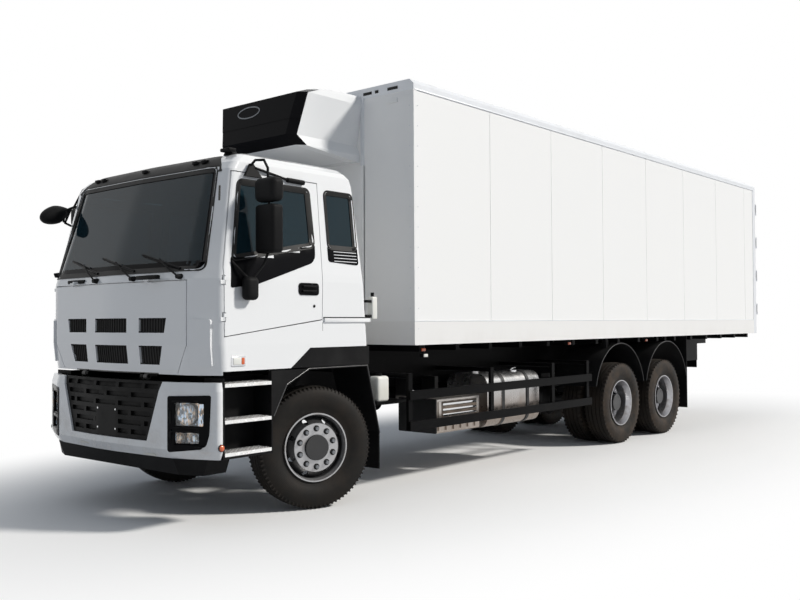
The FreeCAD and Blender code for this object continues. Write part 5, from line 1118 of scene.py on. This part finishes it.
for side in (1, -1):
    for row in range(box["rivetCount"]):
        z = box["rivetTop"] - row * box["rivetStep"]
        radius, height = box["rivet"]
        dome(mesh, spot(side * box["half"], box["rivetY"], z), (side, 0, 0), radius, height, 10)
        dome(mesh, spot(side * (box["half"] - box["rivetInset"]), box["front"], z), (0, -1, 0), radius, height, 10)
addPiece("corner_rivets", mesh, "chassis", materials["box_edge"])
mesh = bmesh.new()
for (low, high), reach, frontGap, rearGap, edge in ((box["cornice"], 0.0035, 0.01, 0.06, 0.0015),
                                                   (box["rail"], 0.0025, 0.004, 0.03, 0.001)):
    for side in (1, -1):
        block(mesh, (side * (box["half"] - 0.004), box["front"] + frontGap, low),
              (side * (box["half"] + reach), box["rear"] - rearGap, high), edge)
addPiece("box_cornice", mesh, "chassis", materials["box_edge"])
marker = {
    "body": (1.150, 1.196, 0.036, 0.020),
    "lens": (1.194, 1.208, 0.030, 0.015),
    "stem": (1.168, 1.182, 0.012, 1.4015),
}
housings = bmesh.new()
lenses = {"amber": bmesh.new(), "white": bmesh.new()}
for side in (1, -1):
    for y, z, colour in box["lamps"]:
        for mesh, (x0, x1, wide, tall), edge in ((housings, marker["body"], (0.005,)),
                                                 (lenses[colour], marker["lens"], (0.006, 3))):
            block(mesh, (side * x0, y - wide, z - tall), (side * x1, y + wide, z + tall), *edge)
        x0, x1, wide, top = marker["stem"]
        block(housings, (side * x0, y - wide, z), (side * x1, y + wide, top))
addPiece("marker_housings", housings, "chassis", plastic)
addPiece("marker_amber", lenses["amber"], "chassis", amber)
addPiece("marker_white", lenses["white"], "chassis", milky)
print("box dressed")


# steps: bright plates with raised teeth and a folded lip
steps = {
    "tops": (0.605, 0.860, 1.145),
    "x": (1.092, 1.2385),
    "y": (-1.150, -0.672),
    "plate": 0.004,
    "lip": 0.024,
    "lipReach": 0.003,
    "toothMargins": (0.016, 0.024),
    "rows": 5,
    "teeth": 30,
    "tooth": 0.0078,
    "toothHeight": 0.009,
    "toothTip": 0.002,
}
(x0, x1), (y0, y1) = steps["x"], steps["y"]
acrossRows = (x1 - x0 - steps["toothMargins"][1]) / (steps["rows"] - 1)
alongTeeth = (y1 - y0 - steps["toothMargins"][1]) / steps["teeth"]
for side, word in sides:
    mesh = bmesh.new()
    lips = bmesh.new()
    for top in steps["tops"]:
        block(mesh, (side * x0, y0, top), (side * x1, y1, top + steps["plate"]))
        block(lips, (side * x1, y0, top - steps["lip"]), (side * (x1 + steps["lipReach"]), y1, top + steps["plate"]))
        for row in range(steps["rows"]):
            x = x0 + steps["toothMargins"][0] + row * acrossRows
            for tooth in range(steps["teeth"]):
                y = y0 + steps["toothMargins"][1] / 2 + (tooth + 0.5 * (row % 2)) * alongTeeth
                foot = spot(side * x, y, top + steps["plate"] - 0.001)
                bar(mesh, foot, foot + Vector((0, 0, steps["toothHeight"])), steps["tooth"], 4, steps["toothTip"])
    addPiece("step_treads_" + word, mesh, "chassis", chequered, flat=True)
    addPiece("step_lips_" + word, lips, "chassis", brightLip, flat=True)
print("steps dressed")


# headlamps: spun bowls with bulbs behind the clear lenses, in a bright surround
lamp = {
    "upper": (0.975, 0.908, 0.088),
    "lower": ((0.915, 0.725, 0.046), (1.034, 0.725, 0.046)),
    "bowl": ((1.0, 0.010), (0.93, 0.020), (0.70, 0.034), (0.36, 0.043), (0.14, 0.046)),
    "bulb": 0.011,
    "bulbDepth": 0.036,
    "wellDepth": 0.045,
    "wells": ((0.857, 1.092, 0.812, 1.004), (0.857, 1.092, 0.676, 0.774)),
    "bezel": ((0.826, 0.610), (1.080, 0.640), (1.150, 0.668), (1.176, 0.760), (1.190, 1.064), (0.826, 1.052)),
    "bezelRounding": 0.018,
    "bezelHoles": ((0.884, 1.088, 0.820, 1.000), (0.884, 1.088, 0.684, 0.768)),
    "sideLens": ((1.094, 0.824), (1.132, 0.824), (1.138, 0.996), (1.094, 0.996)),
    "sideRounding": 0.006,
}


def squareTo(name, x, z):
    # a frame on the node's front: its middle, and z straight out of the surface
    onFront([name], x, z)
    place, normal, face, reach = shapes[name].ray_cast(spot(x, rayFront, z), ahead)
    if normal.y > 0:
        normal = -normal
    return Matrix.Translation(place) @ normal.to_track_quat("Z", "Y").to_matrix().to_4x4()


def bowl(mesh, place, radius):
    verts = [mesh.verts.new(place @ Vector((share * radius, 0.0, -depth))) for share, depth in lamp["bowl"]]
    edges = [mesh.edges.new(pair) for pair in zip(verts[:-1], verts[1:])]
    middle = place.to_translation()
    bmesh.ops.spin(mesh, geom=verts + edges, cent=middle, axis=place.to_3x3() @ Vector((0, 0, 1)), angle=2 * pi,
                   steps=28, use_merge=True)


bowls = bmesh.new()
bulbs = bmesh.new()
for side in (1, -1):
    for x, z, radius in (lamp["upper"],) + lamp["lower"]:
        place = squareTo("headlamp_lenses", side * x, z)
        bowl(bowls, place, radius)
        bmesh.ops.create_uvsphere(bulbs, u_segments=14, v_segments=10, radius=lamp["bulb"],
                                  matrix=place @ Matrix.Translation((0, 0, -lamp["bulbDepth"])))
    for low, high, bottom, top in lamp["wells"]:
        place = squareTo("headlamp_lenses", side * (low + high) / 2, (bottom + top) / 2)
        size = Matrix.Diagonal((high - low - 0.006, top - bottom - 0.006, 0.002, 1.0))
        bmesh.ops.create_cube(bowls, size=1.0, matrix=place @ Matrix.Translation((0, 0, -lamp["wellDepth"])) @ size)
bmesh.ops.solidify(bowls, geom=[f for f in bowls.faces if len(f.verts) == 4 and f.calc_area() < 0.0006],
                   thickness=0.001)
# the bowls and wells take the reflector finish, with its painted reflection of sky and ground
addPiece("lamp_bowls", bowls, "chassis", reflector)
addPiece("lamp_bulbs", bulbs, "chassis", milky)
lampSkin = ["bumper", "headlamps", "headlamp_lenses"]
for side, word in sides:
    bezel = fromFront([(side * x, z) for x, z in lamp["bezel"]])
    holes = [fromFront([(side * x, z) for x, z in ((x0, z0), (x1, z0), (x1, z1), (x0, z1))])
             for x0, x1, z0, z1 in lamp["bezelHoles"]]
    overlayPiece("lamp_bezel_" + word, "chassis", gloss, bezel, lamp["bezelRounding"], ahead, lampSkin, 0.006,
                 slices=(0.03, 0.03), holes=holes)
    # the side lens takes the reflector finish too, with its painted reflection
    lens = fromFront([(side * x, z) for x, z in lamp["sideLens"]])
    overlayPiece("lamp_side_lens_" + word, "chassis", reflector, lens, lamp["sideRounding"], ahead, lampSkin, 0.009,
                 slices=(0.03, 0.06), slotName="lamp_glass")
print("headlamps dressed")


# bumper: corner markers, light strips and the four plate bolts
front = {
    "marker": (-1.193, 0.656),
    "markerRadius": 0.025,
    "markerHeight": 0.013,
    "strips": ((-0.415, -0.275, 0.600), (0.446, 0.650, 0.574)),
    "bolts": (0.133, (0.747, 0.909)),
    "boltRadius": 0.0085,
}
cups = bmesh.new()
domes = bmesh.new()
for side in (1, -1):
    place = onSide(["bumper"], side, *front["marker"])
    out = Vector((side, 0, 0))
    bar(cups, place - out * 0.006, place + out * 0.006, front["markerRadius"] + 0.004, 24)
    dome(domes, place + out * 0.005, out, front["markerRadius"], front["markerHeight"], 24)
addPiece("corner_marker_cups", cups, "chassis", seal)
addPiece("corner_markers", domes, "chassis", amber)
mesh = bmesh.new()
for x0, x1, z in front["strips"]:
    y = max(onFront(["valance", "bumper"], x, z).y for x in (x0, x1)) - axleY
    block(mesh, (x0, y - 0.010, z - 0.008), (x1, y + 0.004, z + 0.008), 0.002)
addPiece("valance_strips", mesh, "chassis", milky)
mesh = bmesh.new()
boltX, boltRows = front["bolts"]
for x in (-boltX, boltX):
    for z in boltRows:
        # the face is read beside the bolt's hole
        head = Vector((x, onFront(["lower_grille", "bumper"], x + 0.012, z).y, z))
        bar(mesh, head + Vector((0, 0.001, 0)), head - Vector((0, 0.003, 0)), front["boltRadius"], 18)
        dome(mesh, head - Vector((0, 0.003, 0)), (0, -1, 0), front["boltRadius"] * 0.8, 0.003, 14)
addPiece("plate_bolts", mesh, "chassis", chrome)
print("bumper dressed")


# mirrors: rounded heads on tube arms, which take the place of the plain ones, and the round lower mirror
mirror = {
    "heads": ((1.395, -0.830, 2.180, 2.568, 0.226, 0.120, 0.030),
              (1.395, -0.830, 2.588, 2.784, 0.246, 0.136, 0.050)),
    "glassEdge": 0.014,
    "link": ((1.395, -0.830, 2.550), (1.395, -0.830, 2.610)),
    "foot": (1.150, -0.806, 2.815, 2.925),
    "footRadii": (0.125, 0.028),
    "footFlat": 0.40,
    "upperArm": ((1.140, -0.810, 2.905), (1.205, -0.812, 2.948), (1.315, -0.815, 2.938), (1.368, -0.820, 2.865),
                 (1.378, -0.826, 2.760)),
    "rod": ((1.165, -0.778, 2.893), (1.172, -0.432, 2.836)),
    "cylinder": ((1.172, -0.430, 2.834), (1.172, -0.241, 2.830)),
    "cylinderRadius": 0.021,
    "ball": (1.300, -0.945, 1.898),
    "ballSize": (0.048, 0.066, 0.094),
    "ballEdge": 0.040,
    "arms": (((1.370, -0.812, 2.200), (1.352, -0.850, 2.090), (1.312, -0.930, 1.975)),
             ((1.240, -1.085, 2.112), (1.280, -1.030, 2.040), (1.300, -0.965, 1.975))),
    "tube": 0.0105,
}
for side, word in sides:
    body = "cab_door_" + word
    mesh = bmesh.new()
    glass = bmesh.new()
    for x, y, low, high, width, depth, edge in mirror["heads"]:
        x0, x1 = sorted((side * (x - width / 2), side * (x + width / 2)))
        block(mesh, (x0, y - depth / 2, low), (x1, y + depth / 2, high), edge, 5)
        inset = edge * 0.55 + mirror["glassEdge"]
        block(glass, (x0 + inset, y + depth / 2 - 0.004, low + inset),
              (x1 - inset, y + depth / 2 + 0.0015, high - inset), 0.001, 1)
    x, y, low, high = mirror["foot"]
    place = (Matrix.Translation(spot(side * x, y, (low + high) / 2))
             @ Matrix.Diagonal((mirror["footFlat"], 1.0, 1.0, 1.0)) @ Matrix.Rotation(radians(45), 4, "Z"))
    bmesh.ops.create_cone(mesh, cap_ends=True, segments=4, radius1=mirror["footRadii"][0],
                          radius2=mirror["footRadii"][1], depth=high - low, matrix=place)
    for run in (mirror["upperArm"], mirror["link"], mirror["rod"]) + mirror["arms"]:
        chain(mesh, [spot(side * px, py, pz) for px, py, pz in run], mirror["tube"], 12)
    start, end = [spot(side * px, py, pz) for px, py, pz in mirror["cylinder"]]
    bar(mesh, start, end, mirror["cylinderRadius"], 20)
    (x, y, z), (wide, deep, tall) = mirror["ball"], mirror["ballSize"]
    block(mesh, (side * (x - wide), y - deep, z - tall), (side * (x + wide), y + deep, z + tall),
          mirror["ballEdge"], 6)
    piece = addPiece("mirror_heads_" + word, mesh, body, plastic)
    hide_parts("mirrors_" + word)
    addPiece("mirror_glasses_" + word, glass, body, chrome, flat=True)

kerbMirror = {
    "place": (-1.205, -1.215, 2.662),
    "size": (0.090, 0.160, 0.086),
    "tilt": 20.0,
    "taper": 0.55,
    "neck": ((-1.185, -1.095, 2.722), (-1.160, -1.050, 2.745), (-1.085, -1.010, 2.745)),
    "truss": (((-1.160, -1.050, 2.745), (-1.155, -0.960, 2.915), (-1.060, -0.930, 2.965)),
              ((-1.165, -1.075, 2.735), (-1.200, -1.120, 2.590), (-1.150, -1.085, 2.560)),
              ((-1.140, -0.990, 2.870), (-1.085, -0.960, 2.830))),
}
mesh = bmesh.new()
place = (Matrix.Translation(spot(*kerbMirror["place"])) @ Matrix.Rotation(radians(kerbMirror["tilt"]), 4, "X")
         @ Matrix.Diagonal((*kerbMirror["size"], 1.0)))
made = bmesh.ops.create_uvsphere(mesh, u_segments=32, v_segments=20, radius=1.0)["verts"]
for vert in made:
    # full in front and drawn in to a neck behind
    pull = 1.0 - kerbMirror["taper"] * max(0.0, vert.co.y) ** 1.5
    vert.co = place @ Vector((vert.co.x * pull, vert.co.y, vert.co.z * pull))
for run in (kerbMirror["neck"],) + kerbMirror["truss"]:
    chain(mesh, [spot(*point) for point in run], mirror["tube"], 12)
piece = addPiece("kerb_mirror", mesh, "cab", plastic)
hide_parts("front_mirror")
print("mirrors dressed")


# what stands between the cab and the box
behind = {
    "bottle": (1.165, 1.232, 0.573, 0.645, 1.650, 1.862),
    "neck": (1.198, 0.609, 1.858, 1.900, 0.016),
    "reservoir": (0.930, 1.060, 0.838, 1.010, 0.858, 1.105),
    "reservoirNeck": (0.995, 0.924, 1.100, 1.132, 0.030),
    "shelf": (0.420, 1.060, 0.815, 1.290, 0.835, 0.858),
    "edges": {"bottle": 0.014, "reservoir": 0.030, "shelf": 0.002},
    "brackets": ((1.172, 1.222, 0.505, 0.590, 1.668, 1.694), (1.172, 1.222, 0.505, 0.590, 1.806, 1.830)),
}
for name, body, material in (("bottle", "cab", milky), ("reservoir", "chassis", milky),
                             ("shelf", "chassis", materials["chassis_black"])):
    x0, x1, y0, y1, z0, z1 = behind[name]
    blockPiece(name, body, material, ((x0, y0, z0), (x1, y1, z1), behind["edges"][name], 4))
for name, body, neck, corners, brackets in (("bottle_cap", "cab", "neck", 18, behind["brackets"]),
                                            ("reservoir_cap", "chassis", "reservoirNeck", 22, ())):
    mesh = bmesh.new()
    x, y, low, high, radius = behind[neck]
    bar(mesh, spot(x, y, low), spot(x, y, high), radius, corners)
    for x0, x1, y0, y1, z0, z1 in brackets:
        block(mesh, (x0, y0, z0), (x1, y1, z1), 0.003)
    addPiece(name, mesh, body, plastic)
print("tanks dressed")


# hangers of the propeller shaft: plates under the frame with a round bearing house
hanger = {
    "plates": (1.900, 2.935),
    "plate": (0.420, 0.030, 0.790, 0.990),
    "bearing": (0.740, 0.105, 0.085),
}
half, thickness, z0, z1 = hanger["plate"]
z, radius, length = hanger["bearing"]
mesh = bmesh.new()
for y in hanger["plates"]:
    block(mesh, (-half, y, z0), (half, y + thickness, z1), 0.006)
    bar(mesh, spot(0.0, y - length / 2, z), spot(0.0, y + thickness + length / 2, z), radius, 32)
addPiece("shaft_hanger", mesh, "chassis", materials["chassis_black"])

# battery box: a sunk window with three bars across it
y0, y1, z0, z1 = battery["window"]
x = battery["side"]
# the window's finish is painted shade with dust
blockPiece("battery_window", "chassis", dusty, ((x - 0.004, y0, z0), (x + 0.003, y1, z1), 0.001))
blockPiece("battery_bars", "chassis", chrome,
           *(((x - 0.001, y0 + 0.012, z - battery["bar"]), (x + 0.011, y1 - 0.012, z + battery["bar"]), 0.004)
             for z in battery["bars"]))


# filler cap: a bright lever over the tank's own cap
filler = {
    "place": (0.905, 3.390),
    "radius": 0.052,
    "lever": ((0.0, -0.050, 0.012), (0.0, 0.0, 0.034), (0.0, 0.062, 0.040)),
    "leverRadius": 0.009,
}
x, y = filler["place"]
top = surface(["fuel_tank"], spot(x, y, 1.5), Vector((0.0, 0.0, -1.0)))
mesh = bmesh.new()
bar(mesh, top - Vector((0, 0, 0.004)), top + Vector((0, 0, 0.014)), filler["radius"], 28)
chain(mesh, [top + Vector(offset) for offset in filler["lever"]], filler["leverRadius"], 12)
addPiece("filler_lever", mesh, "chassis", chrome)


# rear doors: gaskets, lock-bar handles with their keepers, and lamp lenses
rear = {
    "face": 10.491,
    "doorX": (0.006, 1.208),
    "doorZ": (1.531, 3.844),
    "gasket": 0.016,
    "bars": (0.250, 0.708),
    "barY": 10.511,
    "barRadius": 0.014,
    "handleZ": 2.02,
    "handleReach": 0.34,
    "keepers": (1.560, 3.812),
    "guides": (2.30, 3.00),
    "lenses": ((0.848, 0.980, "red"), (0.986, 1.110, "amber"), (1.116, 1.252, "red")),
    "lensZ": (1.424, 1.508),
    "lensY": 10.511,
    "reflector": (1.252, 1.60, 0.030),
}
for side, word in sides:
    body = "box_door_" + word
    mesh = bmesh.new()
    z0, z1 = rear["doorZ"]
    x0, x1 = rear["doorX"]
    edge = rear["gasket"]
    for left, right, low, high in ((x0, x1, z1 - edge, z1), (x0, x1, z0, z0 + edge), (x0, x0 + edge, z0, z1),
                                   (x1 - edge, x1, z0, z1)):
        block(mesh, (side * left, rear["face"] - 0.004, low), (side * right, rear["face"] + 0.004, high), 0.0015)
    addPiece("rear_gaskets_" + word, mesh, body, seal)
    mesh = bmesh.new()
    for index, x in enumerate(rear["bars"]):
        inward = -1 if index else 1
        start = spot(side * x, rear["barY"] + 0.006, rear["handleZ"])
        end = start + Vector((side * inward * rear["handleReach"] * 0.55, 0.004, -0.05))
        chain(mesh, [start, start + Vector((side * inward * 0.05, 0.004, 0.0)), end], 0.010, 12)
        place = end + Vector((0.0, -0.006, 0.0))
        block(mesh, tuple(place - Vector((0.022, 0.014 + axleY, 0.018))),
              tuple(place + Vector((0.022, 0.006 - axleY, 0.018))), 0.004)
        for z in rear["guides"]:
            block(mesh, (side * x - 0.036, rear["face"] - 0.001, z - 0.020),
                  (side * x + 0.036, rear["barY"] + 0.003, z + 0.020), 0.004)
        for z in rear["keepers"]:
            bar(mesh, spot(side * x, rear["barY"], z - 0.018), spot(side * x, rear["barY"], z + 0.018),
                rear["barRadius"] * 1.5, 18)
    addPiece("lock_handles_" + word, mesh, body, chrome)
lenses = {"red": bmesh.new(), "amber": bmesh.new()}
for side in (1, -1):
    for x0, x1, colour in rear["lenses"]:
        block(lenses[colour], (side * x0, rear["lensY"] - 0.003, rear["lensZ"][0]),
              (side * x1, rear["lensY"] + 0.006, rear["lensZ"][1]), 0.004)
    x, z, radius = rear["reflector"]
    dome(lenses["red"], spot(side * x, rear["face"] + 0.001, z), (0, 1, 0), radius, 0.006, 20)
addPiece("tail_lenses_red", lenses["red"], "chassis", red)
addPiece("tail_lenses_amber", lenses["amber"], "chassis", amber)
print("rear doors dressed")


# paler edges on the rear mudguards and the front arches: thin tubes on the real lips, their paler colour a painted
# highlight
edges = {
    "rearMiddles": (5.496, 6.942),
    "rearZ": 0.630,
    "rearRadius": 0.698,
    "rearX": 1.238,
    "rearFrom": 14.0,
    "steps": 22,
    "tube": 0.0045,
    "lip": ((-0.643, 0.860), (-0.500, 1.110), (-0.240, 1.232), (0.495, 1.232), (0.660, 0.600)),
    "lipX": 1.237,
    "lipRadius": 0.005,
}
mesh = bmesh.new()
for side in (1, -1):
    for middle in edges["rearMiddles"]:
        run = []
        for index in range(edges["steps"] + 1):
            angle = radians(edges["rearFrom"] + (180 - 2 * edges["rearFrom"]) * index / edges["steps"])
            run.append(spot(side * edges["rearX"], middle + edges["rearRadius"] * cos(angle),
                            edges["rearZ"] + edges["rearRadius"] * sin(angle)))
        chain(mesh, run, edges["tube"], 8)
addPiece("mudguard_highlight_edges", mesh, "chassis", lipHighlightFinish)
mesh = bmesh.new()
for side in (1, -1):
    chain(mesh, [spot(side * edges["lipX"], y, z) for y, z in edges["lip"]], edges["lipRadius"], 8)
addPiece("arch_highlight_lips", mesh, "chassis", lipHighlightFinish)


# the pillar slots and the small roof lamp
trim = {
    "slot": ((-1.160, 2.590), (-1.144, 2.590), (-1.128, 2.712), (-1.144, 2.712)),
    "roofLamp": (0.930, -0.840, 3.020),
}
for side, word in sides:
    overlayPiece("pillar_slot_" + word, "cab", seal,
                 fromSide(side, trim["slot"]), 0.003, (-side, 0.0, 0.0),
                 ["cab_front", "cab_side_" + word], 0.0015, slices=(0.1, 0.1))
x, y, z = trim["roofLamp"]
top = surface(["cab_roof"], spot(x, y, 3.4), Vector((0.0, 0.0, -1.0)))
mesh = bmesh.new()
bar(mesh, top - Vector((0, 0, 0.006)), top + Vector((0, 0, 0.030)), 0.060, 24, 0.045)
block(mesh, (x - 0.020, y - 0.10, top.z + 0.010), (x + 0.10, y - 0.02, top.z + 0.040), 0.010, 3)
addPiece("roof_fitting", mesh, "cab", plastic)
mesh = bmesh.new()
dome(mesh, top + Vector((0, 0, 0.028)), (0, 0, 1), 0.040, 0.030, 24)
addPiece("roof_fitting_dome", mesh, "cab", chrome)
print("trim dressed")


# floor, light and camera
def makeFloor():
    mesh = bmesh.new()
    bmesh.ops.create_grid(mesh, x_segments=1, y_segments=1, size=60.0)
    data = bpy.data.meshes.new("floor")
    mesh.to_mesh(data)
    mesh.free()
    floor = bpy.data.objects.new("floor", data)
    bpy.context.scene.collection.objects.link(floor)
    floor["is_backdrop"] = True
    material = bpy.data.materials.new("floor")
    material.use_nodes = True
    tree = material.node_tree
    shader = tree.nodes["Principled BSDF"]
    shader.inputs["Roughness"].default_value = 0.9
    place = Wire(tree, tree.nodes.new("ShaderNodeTexCoord").outputs["Object"])
    rays = tree.nodes.new("ShaderNodeLightPath")
    seen = Wire(tree, rays.outputs["Is Camera Ray"]) + Wire(tree, rays.outputs["Is Glossy Ray"])
    colour = mixColours(place, seen, light["floorBounce"], light["floorSeen"])
    tree.links.new(colour.socket, shader.inputs["Base Color"])
    x, y, z = axes(stretched(place, (1.0, 0.42, 1.0)))
    reach = (x * x + y * y).alone("SQRT")
    glow = tree.nodes.new("ShaderNodeEmission")
    blend = tree.nodes.new("ShaderNodeMixShader")
    factor = seen * between(reach, *light["floorFade"])
    factor = factor.maths("MINIMUM", factor, 1.0)
    tree.links.new(factor.socket, blend.inputs[0])
    tree.links.new(shader.outputs[0], blend.inputs[1])
    tree.links.new(glow.outputs[0], blend.inputs[2])
    tree.links.new(blend.outputs[0], tree.nodes["Material Output"].inputs["Surface"])
    data.materials.append(material)


def makeWorld():
    world = bpy.data.worlds.new("studio")
    bpy.context.scene.world = world
    world.use_nodes = True
    tree = world.node_tree
    rays = tree.nodes.new("ShaderNodeLightPath")
    seen = (Wire(tree, rays.outputs["Is Camera Ray"]) + Wire(tree, rays.outputs["Is Glossy Ray"])
            + Wire(tree, rays.outputs["Is Transmission Ray"]))
    seen = seen.maths("MINIMUM", seen, 1.0)
    soft = tree.nodes["Background"]
    soft.inputs[0].default_value = light["skyColour"]
    soft.inputs[1].default_value = light["sky"]
    white = tree.nodes.new("ShaderNodeBackground")
    white.inputs[0].default_value = (1.0, 1.0, 1.0, 1.0)
    white.inputs[1].default_value = 1.0
    blend = tree.nodes.new("ShaderNodeMixShader")
    tree.links.new(seen.socket, blend.inputs[0])
    tree.links.new(soft.outputs[0], blend.inputs[1])
    tree.links.new(white.outputs[0], blend.inputs[2])
    tree.links.new(blend.outputs[0], tree.nodes["World Output"].inputs["Surface"])


bpy.context.scene.view_settings.view_transform = "Standard"
makeFloor()
makeWorld()
sunLamp("key", light["sun"], light["sunFrom"], light["sunSoftness"], light["sunColour"])
sunLamp("fill", light["fill"], light["fillFrom"], light["fillSoftness"])
makeCamera()
print("stage set")

low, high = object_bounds()
